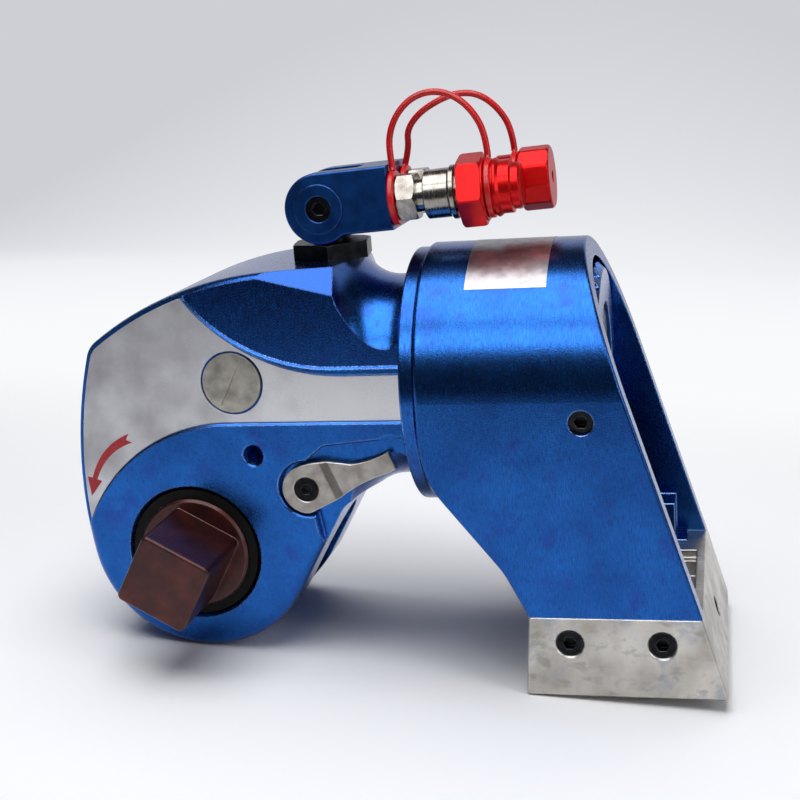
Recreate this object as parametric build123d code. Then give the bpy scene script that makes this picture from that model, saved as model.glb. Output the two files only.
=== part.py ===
from build123d import *
import os
from math import cos, sin, tan, radians, degrees, pi, hypot, atan2

# A square drive hydraulic torque wrench, in millimetres.
# X runs along the cylinder from the head to the reaction arm, Y runs along the drive axis away
# from the side that carries the square, and Z is up.  The origin is on the drive axis, half way
# through the head.  The ram is drawn back, so the lever stands at the start of its stroke.

# head casting
HEAD_HALF = 48.0            # half thickness over the two side faces
HEAD_EDGE = 6.0             # round along the outline
LOW_CENTRE = (2.0, 7.5)     # centre of the round lower end of the head
LOW_RADIUS = 61.0
LOW_LEFT = 188.0            # the left side leaves the lower end at this angle
LOW_RIGHT = -30.0           # the slanted underside leaves it at this angle
LEFT_SIDE_R = 238.0
LEFT_SIDE_END = 71.9        # heading of the outline where the left side ends
TOP_CORNER_R = 14.0
TOP_START = 35.0            # heading of the outline where the bowed top starts
NECK_BEND_R = 14.0
CYL_H = 83.0                # cylinder axis above the drive axis
HEAD_RISE = 63.0            # flat top of the head above the cylinder axis
HEAD_TOP = CYL_H + HEAD_RISE

# side plates, rims and facets
PLATE_RECESS = 3.2          # depth of the bed for a side plate
PLATE_T = 1.2
PLATE_LOW_Z = 69.5          # straight lower edge of the side plate
PLATE_HIGH_Z = 93.0         # straight upper edge near the collar
PLATE_LOW_R = 91.0          # round of the lower edge
PLATE_HIGH_R = 99.7         # round of the upper edge
PLATE_LOW_X = 25.0          # where the lower round starts
PLATE_HIGH_X = 88.0         # where the upper round starts
PLATE_GAP = 0.15
RIM = 4.6                   # width of the bead between side plate and facet
FACET_DEPTH = 1.2           # the brushed facet lies this far below the side face
BEAD_ROUND = 0.9            # round along both edges of the beads
CORNER_X0 = 55.0            # the flat milled across the top corner starts here,
CORNER_X1 = 86.0            # and ends here, at the neck,
CORNER_IN = 12.0            # where it reaches this far in over the top
CORNER_DROP = 14.0          # and this far down the side face
PLUG_X = 29.5               # lever pin at the start of the stroke, under the slotted plug
PLUG_Z = 90.5
PLUG_R = 15.35
PLUG_T = 6.0
PLUG_SLOT = 1.2
PLUG_TURN = 62.0            # angle of the plug's slot

# neck and collar
NECK_R = 55.5               # radius of the neck where it meets the collar
NECK_LOW_R = 52.0           # radius at the bottom of the turned hollow
NECK_LOW_X = 110.0
COVE_R = 25.4               # hollow between the head and the bottom of the neck
COVE_TURN = 20.3            # the hollow turns this far past square before it runs out straight
NECK_CUT_RUN = 100.0        # and that straight run clears the rest of the head
COLLAR_X0 = 120.2
COLLAR_X1 = 127.5
COLLAR_R = 65.3
SPIGOT_R = 34.0             # the cylinder screws into the head by a short spigot
SPIGOT_L = 6.0

# barrel and splines
BARREL_END = 214.0
SPLINE_TIP_R = 54.0
SPLINE_ROOT_R = 51.0
SPLINE_TEETH = 32
SPLINE_PLAY = 0.25
BORE_R = 28.0
BORE_START = 120.0
GLAND_X = 101.8
CAP_SEAT_R = 34.0
CAP_SEAT_X = 199.5
LOCK_GROOVE_X = 206.5
LOCK_GROOVE_W = 7.0
LOCK_GROOVE_R = 50.5

# drive train
RATCHET_TIP_R = 43.5
RATCHET_DEPTH = 2.8
RATCHET_TEETH = 48
RATCHET_HALF = 12.5
HUB_R = 31.4
HUB_HALF = 44.5
RUN_PLAY = 0.05             # radial play of every running fit
BUSH_R = 34.3
BORE_LIP = 2.2              # bevel round the drive bores
SHAFT_R = 25.0
SHAFT_TEETH = 18
SHAFT_TOOTH = 2.0
SHOULDER_R = 29.4
SHOULDER_Y = 49.5           # shoulder face, outside the head's near side
SQUARE = 38.1               # 1-1/2 inch drive
SQUARE_LEN = 43.7
SQUARE_ANGLE = 29.4
SQUARE_EDGE = 3.0
CAVITY_HALF = 21.5
CAVITY_R = 45.5

# lever and ram
LEVER_T = 7.0
LEVER_IN = 13.0             # inner faces of the two lever plates
LEVER_END_R = 17.0
PIN_R = 8.0
STROKE_DEG = 24.0
ROD_R = 14.0
ROD_EYE_R = 15.5
EYE_PLAY = 0.45             # play of the pin across its slotted eye
PISTON_L = 26.0
PISTON_BACK = 10.5          # room between the piston, drawn back, and the end cap
PISTON_X = CAP_SEAT_X - PISTON_L - PISTON_BACK
GLAND_R = 20.0
PAWL_LIFT = 0.4             # both pawls stand this far off the tooth crests

# release lever and reaction pawl
PIVOT_X = 64.3
PIVOT_Z = 34.6
SHAFT2_R = 6.5
LEVER2_R = 12.6
LEVER2_T = 6.0
POCKET_Y = 42.0             # floor of the release lever's pocket
PAWL_ANGLE = 58.0           # where the reaction pawl's nose stands on the ratchet
PAWL_TOP = 46.0
PAWL_SPRING_X = 42.0
PAWL_SPRING_L = 13.0
NOOK_ROOF = 53.0
NOOK_R = 11.2               # room round the reaction pawl's hub
PAWL_SWAY = 3.3             # the spring's top moves this far as the lever is pressed
DRIVE_SPRING_L = 9.0
BRIDGE_T = 4.4

# threaded hole for a handle
HANDLE_X = 37.6
HANDLE_Z = 52.6
HANDLE_R = 5.1
HANDLE_DEPTH = 18.0
DRILL_POINT = 3.0           # cone that the drill leaves under the thread

# window low at the right of the head
WINDOW_ANGLE = -14.0
WINDOW_W = 38.0
WINDOW_L = 60.0

# reaction arm
ARM_R = 67.4
ARM_X0 = 127.9
ARM_WALL = 10.0
ARM_EDGE = 1.5
ARM_SPLINE_END = 178.0
ARM_FOOT_X = 260.0          # end face at the top of the foot
ARM_SLOPE = 0.306           # the end face leans this much per unit of height
FOOT_TOP = -24.7
FOOT_BOTTOM = -65.7
FOOT_X0_TOP = 177.2
FOOT_X0 = 174.3
FOOT_LEAN = 11.7            # the foot's end face reaches this much further at the sole
FOOT_X1 = ARM_FOOT_X + FOOT_LEAN
LEG_T = 15.9                # tenon legs of the arm inside the foot
LEG_OUT = ARM_R - ARM_WALL - 1.5
LEG_IN = LEG_OUT - LEG_T
LEG_X0 = FOOT_X0_TOP + 8.8
LEG_X1 = ARM_FOOT_X - 10.0
LEG_BOTTOM = -52.0
FIT_PLAY = 0.2
FOOT_SCREW_X = (LEG_X0 + 10.6, LEG_X1 - 9.1)
FOOT_SCREW_Z = -38.0
SCREW_HEAD_R = 6.3
SCREW_R = 3.95
SCREW_SINK = 9.0            # depth of the counterbores
MOUTH = 0.8                 # bevel at the mouth of a hole
POCKET_HALF = 27.0          # hollow in the top of the foot
POCKET_X0 = 200.0
POCKET_DEPTH = 13.0
POCKET_WALL = 4.5
LEDGE = 5.0                 # step along the hollow's two long sides
SET_SCREW_X = 206.5
SET_SCREW_DEG = 8.5
SET_SCREW_R = 5.95
END_HOLE_R = 5.9
END_HOLE_DEPTH = 14.0

# hose swivel
SWIVEL_X = 75.5
SWIVEL_RISE = 26.7          # swivel pin above the top of the head
SWIVEL_Z = HEAD_TOP + SWIVEL_RISE
SWIVEL_TILT = 3.0
HEX_AF = 38.0
HEX_H = 8.4
HEX_TOP = HEAD_TOP + HEX_H
HEX_TURN = 8.5
POST_R = 10.0
EYE_R = 14.6
EYE_HALF = 9.2
YOKE_R = 17.9
YOKE_HALF = 20.5
YOKE_U = 37.0
YOKE_LOW = -14.2
FORK_PLAY = 0.3
SWIVEL_PIN_R = 7.0
BOSS_R = 12.5               # round boss on each side of the yoke
PIN_HEAD_R = 6.4
PORT_Y = 14.0               # the two couplers sit this far either side of the middle
PORT_V = 1.0
PORT_THREAD_R = 5.2
CORD_D = 3.3


def outline_slab(sketch, y_low, y_high):
    """A sketch drawn in X and Z, carried from y_low to y_high."""
    return extrude(Plane.XZ.offset(-y_high) * sketch, amount=y_high - y_low, dir=(0, -1, 0))


def both_sides(solid):
    """The solid and its mirror image across the middle plane."""
    return [solid, mirror(solid, about=Plane.XZ)]


def along_x(radius, x0, x1, y=0.0, z=CYL_H):
    return Pos(x0, y, z) * Rot(0, 90, 0) * Cylinder(
        radius, x1 - x0, align=(Align.CENTER, Align.CENTER, Align.MIN))


def along_y(radius, y0, y1, x=0.0, z=0.0):
    return Pos(x, y0, z) * Rot(-90, 0, 0) * Cylinder(
        radius, y1 - y0, align=(Align.CENTER, Align.CENTER, Align.MIN))


def tube_x(outer, inner, x0, x1, y=0.0, z=CYL_H):
    return along_x(outer, x0, x1, y, z) - along_x(inner, x0 - 1, x1 + 1, y, z)


def tube_y(outer, inner, y0, y1, x=0.0, z=0.0):
    return along_y(outer, y0, y1, x, z) - along_y(inner, y0 - 1, y1 + 1, x, z)


def outline(*points):
    """A polygon, its points put in counter-clockwise order first."""
    twice_area = sum(a[0] * b[1] - b[0] * a[1] for a, b in zip(points, points[1:] + points[:1]))
    return Polygon(*(points if twice_area > 0 else points[::-1]), align=None)


def closed(*edges):
    """A face bounded by edges that meet end to end."""
    return make_face(Wire(list(edges)))


def polar(radius, degrees_up, centre=(0.0, 0.0)):
    turn = radians(degrees_up)
    return (centre[0] + radius * cos(turn), centre[1] + radius * sin(turn))


def save(name, solid):
    os.makedirs("parts", exist_ok=True)
    export_step(solid, f"parts/{name}.step")


def heading(degrees_up):
    return (cos(radians(degrees_up)), sin(radians(degrees_up)))


def head_outline():
    """Round lower end, tall left side, bowed top, and a slanted underside that runs into the neck."""
    low_left = polar(LOW_RADIUS, LOW_LEFT, LOW_CENTRE)
    low_right = polar(LOW_RADIUS, LOW_RIGHT, LOW_CENTRE)
    left = JernArc(low_left, heading(LOW_LEFT - 90), LEFT_SIDE_R, LEFT_SIDE_END - (LOW_LEFT - 90))
    corner = JernArc(left @ 1, heading(LEFT_SIDE_END), TOP_CORNER_R, TOP_START - LEFT_SIDE_END)
    bow_r = (HEAD_TOP - (corner @ 1).Y) / (1 - cos(radians(TOP_START)))
    top = JernArc(corner @ 1, heading(TOP_START), bow_r, -TOP_START)
    neck_low = CYL_H - NECK_R
    bend_x = low_right[0] + (neck_low - low_right[1]) * tan(radians(-LOW_RIGHT))
    under = FilletPolyline((COLLAR_X0, neck_low), (bend_x, neck_low), low_right, radius=NECK_BEND_R)
    low = ThreePointArc(low_right, polar(LOW_RADIUS, (LOW_LEFT - 360 + LOW_RIGHT) / 2, LOW_CENTRE), low_left)
    return closed(low, left, corner, top, Line(top @ 1, (COLLAR_X0, HEAD_TOP)),
                  Line((COLLAR_X0, HEAD_TOP), (COLLAR_X0, neck_low)), *under.edges())


def plate_region(low_shift=0.0, high_shift=0.0, right=COLLAR_X0 + 5):
    """The field between the lower bead and the upper bead; the shifts move its two long edges."""
    low_c = (PLATE_LOW_X, PLATE_LOW_Z - PLATE_LOW_R)
    low_r = PLATE_LOW_R + low_shift
    high_c = (PLATE_HIGH_X, PLATE_HIGH_Z + PLATE_HIGH_R)
    high_r = PLATE_HIGH_R - high_shift
    low_left = polar(low_r, 157.0, low_c)
    low_mid = polar(low_r, 120.0, low_c)
    low_end = (low_c[0], low_c[1] + low_r)
    high_end = (high_c[0], high_c[1] - high_r)
    high_mid = polar(high_r, 240.0, high_c)
    high_left = polar(high_r, 196.0, high_c)
    return closed(
        ThreePointArc(low_left, low_mid, low_end),
        Line(low_end, (right, low_end[1])),
        Line((right, low_end[1]), (right, high_end[1])),
        Line((right, high_end[1]), high_end),
        ThreePointArc(high_end, high_mid, high_left),
        Line(high_left, (-90.0, high_left[1])),
        Line((-90.0, high_left[1]), (-90.0, low_left[1])),
        Line((-90.0, low_left[1]), low_left),
    )


def facet_region():
    """The brushed facet above the upper bead, up to the top of the head and on to the neck."""
    centre = (PLATE_HIGH_X - 4.0, PLATE_HIGH_Z + PLATE_HIGH_R)
    radius = PLATE_HIGH_R - RIM
    start = polar(radius, 218.0, centre)
    low = (centre[0], centre[1] - radius)
    return closed(
        ThreePointArc(start, polar(radius, 244.0, centre), low),
        Line(low, (COLLAR_X0 - 0.01, low[1])),
        Line((COLLAR_X0 - 0.01, low[1]), (COLLAR_X0 - 0.01, 220.0)),
        Line((COLLAR_X0 - 0.01, 220.0), (start[0], 220.0)),
        Line((start[0], 220.0), start),
    )


def neck_limit():
    """Everything that the turned neck leaves standing: a body of revolution round the cylinder."""
    cove = (NECK_LOW_X, CYL_H + NECK_LOW_R + COVE_R)
    start = polar(COVE_R, 180 + COVE_TURN, cove)
    top = polar(NECK_CUT_RUN, 90 + COVE_TURN, start)
    low = (NECK_LOW_X, CYL_H + NECK_LOW_R)
    run, rise = COLLAR_X0 + 0.2 - NECK_LOW_X, NECK_R - NECK_LOW_R
    back = (run ** 2 + rise ** 2) / (2 * rise)
    half = polar(back, 270 + degrees(atan2(run, back - rise)) / 2, (NECK_LOW_X, CYL_H + NECK_LOW_R + back))
    face = closed(
        Line((-120.0, CYL_H), (-120.0, top[1])),
        Line((-120.0, top[1]), top),
        Line(top, start),
        ThreePointArc(start, polar(COVE_R, 225 + COVE_TURN / 2, cove), low),
        ThreePointArc(low, half, (COLLAR_X0 + 0.2, CYL_H + NECK_R)),
        Line((COLLAR_X0 + 0.2, CYL_H + NECK_R), (COLLAR_X0 + 0.2, CYL_H)),
        Line((COLLAR_X0 + 0.2, CYL_H), (-120.0, CYL_H)),
    )
    return revolve(Plane.XZ * face, axis=Axis((0, 0, CYL_H), (1, 0, 0)))


def corner_cut():
    """A flat milled across the near top corner, wider towards the neck."""
    start = Vector(CORNER_X0, -HEAD_HALF, HEAD_TOP - HEAD_EDGE)
    inner = Vector(CORNER_X1, CORNER_IN - HEAD_HALF, HEAD_TOP)
    lower = Vector(CORNER_X1, -HEAD_HALF, HEAD_TOP - CORNER_DROP)
    plane = Plane(origin=start, x_dir=lower - start, z_dir=(lower - start).cross(inner - start))
    return plane * Box(260, 160, 60, align=(Align.CENTER, Align.CENTER, Align.MIN))


def lever_pocket():
    """Outline of the release lever's pocket, open to the underside, with room above for a finger."""
    ring = Pos(PIVOT_X, PIVOT_Z) * Circle(LEVER2_R + 1.9)
    right = COLLAR_X0 - 0.01
    field = outline((PIVOT_X, PIVOT_Z + 14.0), (75.0, 57.0), (right, 61.5), (right, 5.0),
                    (PIVOT_X + 6.0, 5.0), (PIVOT_X + 3.6, PIVOT_Z - 14.0))
    return ring + field


def lever_cavity():
    """Space inside the head for the ratchet, the lever plates, the rod eye and the pawls."""
    reach = hypot(PLUG_X, PLUG_Z)
    start = degrees(atan2(PLUG_Z, PLUG_X))
    room = LEVER_END_R + 2.0
    disc = Circle(CAVITY_R)
    swept = [polar(reach, start + STROKE_DEG * step / 3) for step in range(4)]
    spread = degrees(atan2(room, reach))
    far = hypot(room - 0.5, reach)
    end = start + STROKE_DEG
    web = outline((0, 0), polar(CAVITY_R + 4, start - 42), polar(far, start - spread),
                  polar(reach * 1.05, start), polar(reach * 1.06, (start + end) / 2),
                  polar(reach * 1.05, end), polar(far, end + spread), polar(CAVITY_R + 4, end + 42))
    flat = disc + web
    for centre in swept:
        flat = flat + Pos(*centre) * Circle(room)
    space = outline_slab(flat, -CAVITY_HALF, CAVITY_HALF)
    nook = outline((20, 25), (PIVOT_X - 4, PIVOT_Z - 12), (PIVOT_X, PIVOT_Z), (PIVOT_X - 4, PIVOT_Z + 12),
                   (PAWL_SPRING_X + 6, NOOK_ROOF), (20, NOOK_ROOF))
    nook = nook + Pos(PIVOT_X, PIVOT_Z) * Circle(NOOK_R)
    seat = extrude(Plane.XY.offset(NOOK_ROOF - 1) * (Pos(PAWL_SPRING_X + PAWL_SWAY / 2, 0) * SlotOverall(
        2 * 4.2 + PAWL_SWAY, 2 * 4.2)), amount=11.5)
    return space + outline_slab(nook, -RATCHET_HALF, RATCHET_HALF) + seat


def window():
    """The long round-ended window that lets the ratchet be seen and cleaned."""
    slot = SlotOverall(WINDOW_L, WINDOW_W)
    plane = Plane(origin=(0, 0, 0), x_dir=(sin(radians(-WINDOW_ANGLE)), 0, cos(radians(WINDOW_ANGLE))),
                  z_dir=(cos(radians(WINDOW_ANGLE)), 0, sin(radians(WINDOW_ANGLE))))
    return extrude(plane.offset(30.0) * slot, amount=70.0)


def toothed(teeth, tip, root, share_tip, share_root):
    """An outline of straight-flanked teeth; the shares are of one pitch."""
    pitch = 360.0 / teeth
    points = []
    for tooth in range(teeth):
        middle = tooth * pitch
        points.append(polar(root, middle - pitch * (0.5 - share_root / 2)))
        points.append(polar(tip, middle - pitch * share_tip / 2))
        points.append(polar(tip, middle + pitch * share_tip / 2))
        points.append(polar(root, middle + pitch * (0.5 - share_root / 2)))
    return outline(*points)


def barrel_blank():
    teeth = toothed(SPLINE_TEETH, SPLINE_TIP_R, SPLINE_ROOT_R, 0.30, 0.34)
    start = Plane.YZ.offset(COLLAR_X1 - 0.5)
    body = extrude(start * (Pos(0, CYL_H) * teeth), amount=BARREL_END - COLLAR_X1 + 0.5)
    end_form = closed(
        Line((COLLAR_X1 - 1, CYL_H), (COLLAR_X1 - 1, CYL_H + 60)),
        Line((COLLAR_X1 - 1, CYL_H + 60), (BARREL_END - 3.5, CYL_H + 60)),
        Line((BARREL_END - 3.5, CYL_H + 60), (BARREL_END - 3.5, CYL_H + SPLINE_TIP_R)),
        Line((BARREL_END - 3.5, CYL_H + SPLINE_TIP_R), (BARREL_END, CYL_H + SPLINE_TIP_R - 3.5)),
        Line((BARREL_END, CYL_H + SPLINE_TIP_R - 3.5), (BARREL_END, CYL_H)),
        Line((BARREL_END, CYL_H), (COLLAR_X1 - 1, CYL_H)),
    )
    body = body & revolve(Plane.XZ * end_form, axis=Axis((0, 0, CYL_H), (1, 0, 0)))
    low = LOCK_GROOVE_X - LOCK_GROOVE_W / 2
    return body - tube_x(60, LOCK_GROOVE_R, low, low + LOCK_GROOVE_W)


def sunk(region, depth):
    """Cutters for a flat sunk below the far side face, the first with its mouth opened by a bevel."""
    face = Plane.XZ.offset(-(HEAD_HALF - BEAD_ROUND)) * region
    mouth = extrude(face, amount=BEAD_ROUND + 0.1, dir=(0, 1, 0), taper=-45)
    return [mouth, outline_slab(region, HEAD_HALF - depth, HEAD_HALF + 10)]


def bevel_y(radius, edge, x=0.0, z=0.0):
    """Cutter for the bevel at the mouth of a round bore in the far side face."""
    cone = Cone(radius, radius + edge + 0.1, edge + 0.1, align=(Align.CENTER, Align.CENTER, Align.MIN))
    return Pos(x, HEAD_HALF - edge, z) * Rot(-90, 0, 0) * cone


def housing():
    block = outline_slab(head_outline(), -HEAD_HALF, HEAD_HALF)
    rims = [e for e in block.edges() if abs(abs(e.center().Y) - HEAD_HALF) < 0.01]
    block = fillet([e for e in rims if e.center().X < COLLAR_X0 - 1], HEAD_EDGE)
    block = block & neck_limit()
    tools = [corner_cut()] + sunk(plate_region(), PLATE_RECESS) + sunk(facet_region(), FACET_DEPTH)
    tools += [bevel_y(BUSH_R, BORE_LIP), bevel_y(PLUG_R + PLATE_GAP, MOUTH, PLUG_X, PLUG_Z)]
    for tool in tools:
        for side in both_sides(tool):
            block = block - side
    for tool in sunk(lever_pocket(), HEAD_HALF - POCKET_Y) + [bevel_y(HANDLE_R, MOUTH, HANDLE_X, HANDLE_Z)]:
        block = block - mirror(tool, about=Plane.XZ)
    body = block - lever_cavity() - window()
    body = body - along_y(BUSH_R, -HEAD_HALF - 1, HEAD_HALF + 1)
    body = body - along_y(PLUG_R + PLATE_GAP, -HEAD_HALF - 1, HEAD_HALF + 1, PLUG_X, PLUG_Z)
    body = body - along_x(ROD_R + 2.0, 30.0, COLLAR_X0 + 1)
    body = body - along_x(GLAND_R, GLAND_X, COLLAR_X0 + 1)
    body = body - along_x(SPIGOT_R + RUN_PLAY, COLLAR_X0 - SPIGOT_L, COLLAR_X0 + 1)
    body = body - along_y(SHAFT2_R + RUN_PLAY, -HEAD_HALF - 1, RATCHET_HALF + 8, PIVOT_X, PIVOT_Z)
    body = body - along_y(HANDLE_R, -HEAD_HALF - 1, -HEAD_HALF + HANDLE_DEPTH, HANDLE_X, HANDLE_Z)
    point = Cone(HANDLE_R, 0, DRILL_POINT, align=(Align.CENTER, Align.CENTER, Align.MIN))
    body = body - Pos(HANDLE_X, -HEAD_HALF + HANDLE_DEPTH, HANDLE_Z) * Rot(-90, 0, 0) * point
    body = body - Pos(SWIVEL_X, 0, HEAD_TOP) * Cylinder(15.05, 32)
    return body


def cylinder():
    """Cylinder with its collar and splined barrel, bored for the piston and the end cap."""
    collar = along_x(COLLAR_R, COLLAR_X0, COLLAR_X1)
    collar = fillet(collar.edges().filter_by(GeomType.CIRCLE), 1.0)
    spigot = along_x(SPIGOT_R, COLLAR_X0 - SPIGOT_L, COLLAR_X0 + 1)
    body = collar + barrel_blank() + spigot
    body = body - along_x(GLAND_R, COLLAR_X0 - SPIGOT_L - 1, BORE_START + 1)
    body = body - along_x(BORE_R, BORE_START, BARREL_END + 1)
    return body - along_x(CAP_SEAT_R, CAP_SEAT_X, BARREL_END + 1)


def side_plate():
    """The bare plate on the near side, let into its bed flush with nothing standing proud."""
    face = plate_region(PLATE_GAP, -PLATE_GAP, right=COLLAR_X0 - 0.4)
    inset = outline_slab(offset(head_outline(), -3.0), -100, 100)
    low = -HEAD_HALF + PLATE_RECESS
    blank = outline_slab(face, low - PLATE_T, low) & inset & neck_limit()
    return blank - along_y(PLUG_R + 1.2, -100, 100, PLUG_X, PLUG_Z)


def pin_plug():
    """Slotted screw plug over the lever pin, near side."""
    outer = -HEAD_HALF + PLATE_RECESS - PLATE_T - 0.5
    plug = along_y(PLUG_R, outer, outer + PLUG_T, PLUG_X, PLUG_Z)
    slot = Pos(PLUG_X, outer, PLUG_Z) * Rot(0, -PLUG_TURN, 0) * Box(2 * PLUG_R - 4, 2.4, PLUG_SLOT)
    return plug - slot


def drive_bush():
    return tube_y(BUSH_R - 0.02, HUB_R + RUN_PLAY, -HUB_HALF, -CAVITY_HALF - 0.3)


def drive_seal():
    return tube_y(BUSH_R - RUN_PLAY, SHOULDER_R + 0.15, -HUB_HALF - 2.6, -HUB_HALF - 0.2)


def shaft_outline(play=0.0):
    tip_share, root_share = 0.32 + play / 10, 0.30 - play / 10
    return toothed(SHAFT_TEETH, SHAFT_R + play, SHAFT_R - SHAFT_TOOTH + play, tip_share, root_share)


def ratchet_wheel():
    pitch = 360.0 / RATCHET_TEETH
    root = RATCHET_TIP_R - RATCHET_DEPTH
    points = []
    for tooth in range(RATCHET_TEETH):
        turn = tooth * pitch
        points += [polar(root, turn), polar(RATCHET_TIP_R, turn + 0.6), polar(RATCHET_TIP_R, turn + 2.2)]
    wheel = outline_slab(outline(*points), -RATCHET_HALF, RATCHET_HALF)
    wheel = wheel + along_y(HUB_R, -HUB_HALF, HUB_HALF)
    return wheel - outline_slab(shaft_outline(0.15), -HUB_HALF - 1, HUB_HALF + 1)


def square_drive():
    shaft = outline_slab(shaft_outline(), -HUB_HALF - 1, HUB_HALF)
    shoulder = along_y(SHOULDER_R, -SHOULDER_Y, -HUB_HALF - 0.2)
    shoulder = chamfer(shoulder.edges().filter_by(GeomType.CIRCLE).sort_by(Axis.Y)[0], 1.2)
    end = -SHOULDER_Y - SQUARE_LEN
    bar = outline_slab(Rot(0, 0, -SQUARE_ANGLE) * Rectangle(SQUARE, SQUARE), end, -SHOULDER_Y + 1)
    bar = fillet(bar.edges().filter_by(Axis.Y), SQUARE_EDGE)
    bar = fillet([e for e in bar.edges() if abs(e.center().Y - end) < 0.01], 1.6)
    body = shaft + shoulder + bar
    return body - along_y(5.1, 20.0, HUB_HALF + 1)


def drive_retainer():
    """Cap on the far side that holds the square in the ratchet, with a bore for its button."""
    outer = HEAD_HALF + 4.0
    cap = along_y(SHOULDER_R, HUB_HALF + 0.2, outer)
    cap = chamfer(cap.edges().filter_by(GeomType.CIRCLE).sort_by(Axis.Y)[-1], 1.5)
    cap = cap - along_y(10.0, HUB_HALF + 3.2, outer + 1) - along_y(5.1, HUB_HALF - 1, outer)
    return cap


def retainer_button():
    head = along_y(9.9, HUB_HALF + 6.4, HEAD_HALF + 6.5)
    head = fillet(head.edges().filter_by(GeomType.CIRCLE).sort_by(Axis.Y)[-1], 1.5)
    return head + along_y(5.0, 26.0, HUB_HALF + 6.6)


def lever_plate():
    """One of the two plates that swing on the ratchet's hubs and carry the lever pin."""
    reach = hypot(PLUG_X, PLUG_Z)
    start = degrees(atan2(PLUG_Z, PLUG_X))
    hub = Circle(RATCHET_TIP_R - 1.5)
    end = Pos(PLUG_X, PLUG_Z) * Circle(LEVER_END_R)
    far = hypot(reach, 16.5)
    web = outline(polar(34, start - 80), polar(far, start - 9.8), polar(far, start + 9.8),
                  polar(34, start + 80))
    plate = outline_slab(hub + end + web, -LEVER_IN - LEVER_T, -LEVER_IN)
    return plate - along_y(HUB_R + RUN_PLAY, -60, 60) - along_y(PIN_R + 0.02, -60, 60, PLUG_X, PLUG_Z)


def lever_pin():
    half = LEVER_IN + LEVER_T + 0.6
    pin = along_y(PIN_R, -half, half, PLUG_X, PLUG_Z)
    return chamfer(pin.edges().filter_by(GeomType.CIRCLE), 0.8)


def saw_edge(inner, middle, count):
    """Points of a toothed inner face, clear of the ratchet's crests, from low angle to high."""
    pitch = 360.0 / RATCHET_TEETH
    start = middle - count * pitch / 2
    points = []
    for tooth in range(count):
        turn = start + tooth * pitch
        points.append(polar(inner + RATCHET_DEPTH, turn))
        points.append(polar(inner, turn + pitch - 2.2))
        points.append(polar(inner, turn + pitch - 0.6))
    points.append(polar(inner + RATCHET_DEPTH, start + count * pitch))
    return points


def drive_pawl():
    """Toothed block between the lever plates, over the ratchet and under the rod eye."""
    start = degrees(atan2(PLUG_Z, PLUG_X)) + 5.0
    inner = RATCHET_TIP_R + PAWL_LIFT
    points = saw_edge(inner, start, 3)
    points += [polar(inner + 15.0, start + 9.0), polar(inner + 15.0, start - 9.0)]
    block = outline_slab(outline(*points), -LEVER_IN + 0.2, LEVER_IN - 0.2)
    for place in (-6.0, 6.0):
        seat = Plane(origin=polar3(inner + 15.1, start, place), z_dir=polar3(-1.0, start, 0.0))
        block = block - plane_disc(seat, 3.2, 5.0)
    return block


def polar3(radius, turn, y):
    x, z = polar(radius, turn)
    return (x, y, z)


def plane_disc(plane, radius, length):
    return plane * Cylinder(radius, length, align=(Align.CENTER, Align.CENTER, Align.MIN))


def drive_springs():
    """Two short springs between the drive pawl and the lever pin's spacer."""
    start = degrees(atan2(PLUG_Z, PLUG_X)) + 5.0
    inner = RATCHET_TIP_R + PAWL_LIFT
    springs = []
    for place in (-6.0, 6.0):
        plane = Plane(origin=polar3(inner + 10.3, start, place), z_dir=polar3(1.0, start, 0.0))
        springs.append(plane_disc(plane, 3.0, DRIVE_SPRING_L) - plane_disc(plane.offset(-1), 1.8, 13.0))
    return Compound(springs)


def spring_bridge():
    """Bar pinned between the lever plates that the drive springs push against."""
    start = degrees(atan2(PLUG_Z, PLUG_X)) + 5.0
    low = RATCHET_TIP_R + PAWL_LIFT + 10.4 + DRIVE_SPRING_L
    x, z = polar(low + BRIDGE_T / 2, start)
    half = LEVER_IN - 0.05
    return Pos(x, 0, z) * Rot(0, -(start - 90.0), 0) * Box(13.0, 2 * half, BRIDGE_T)


def piston_rod():
    """Rod with a slotted eye; the slot lets the pin rise and fall along its arc."""
    reach = hypot(PLUG_X, PLUG_Z)
    shank = along_x(ROD_R, PLUG_X, PISTON_X)
    spigot = along_x(9.0, PISTON_X - 1, PISTON_X + PISTON_L + 9.0)
    half = LEVER_IN - 0.4
    eye_z = (PLUG_Z + reach) / 2
    eye = outline_slab(Pos(PLUG_X, eye_z) * Circle(ROD_EYE_R), -half, half)
    nose = Pos(PLUG_X, 0, CYL_H) * Box(60, 60, 60)
    flats = outline_slab(Pos(PLUG_X, CYL_H) * Rectangle(70, 60), -half, half)
    body = (shank - nose) + eye + ((shank & nose) & flats)
    slot = outline_slab(Pos(PLUG_X, eye_z) * Rectangle(2 * (PIN_R + EYE_PLAY), reach - PLUG_Z), -60, 60)
    for z in (PLUG_Z, reach):
        slot = slot + along_y(PIN_R + EYE_PLAY, -60, 60, PLUG_X, z)
    return (body - slot) + spigot


def piston():
    body = along_x(BORE_R - RUN_PLAY, PISTON_X, PISTON_X + PISTON_L)
    body = body - along_x(9.02, PISTON_X - 1, PISTON_X + PISTON_L + 1)
    for x in (PISTON_X + 5.0, PISTON_X + 15.0):
        body = body - tube_x(BORE_R + 1, BORE_R - 3.5, x, x + 5.0)
    return body


def piston_seals():
    return Compound([tube_x(BORE_R - 0.02, BORE_R - 3.45, x + 0.1, x + 4.9)
                     for x in (PISTON_X + 5.0, PISTON_X + 15.0)])


def piston_nut():
    x = PISTON_X + PISTON_L
    nut = extrude(Plane.YZ.offset(x + 0.05) * (Pos(0, CYL_H) * RegularPolygon(14.5, 6)), amount=8.0)
    return nut - along_x(9.02, x - 1, x + 12)


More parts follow.
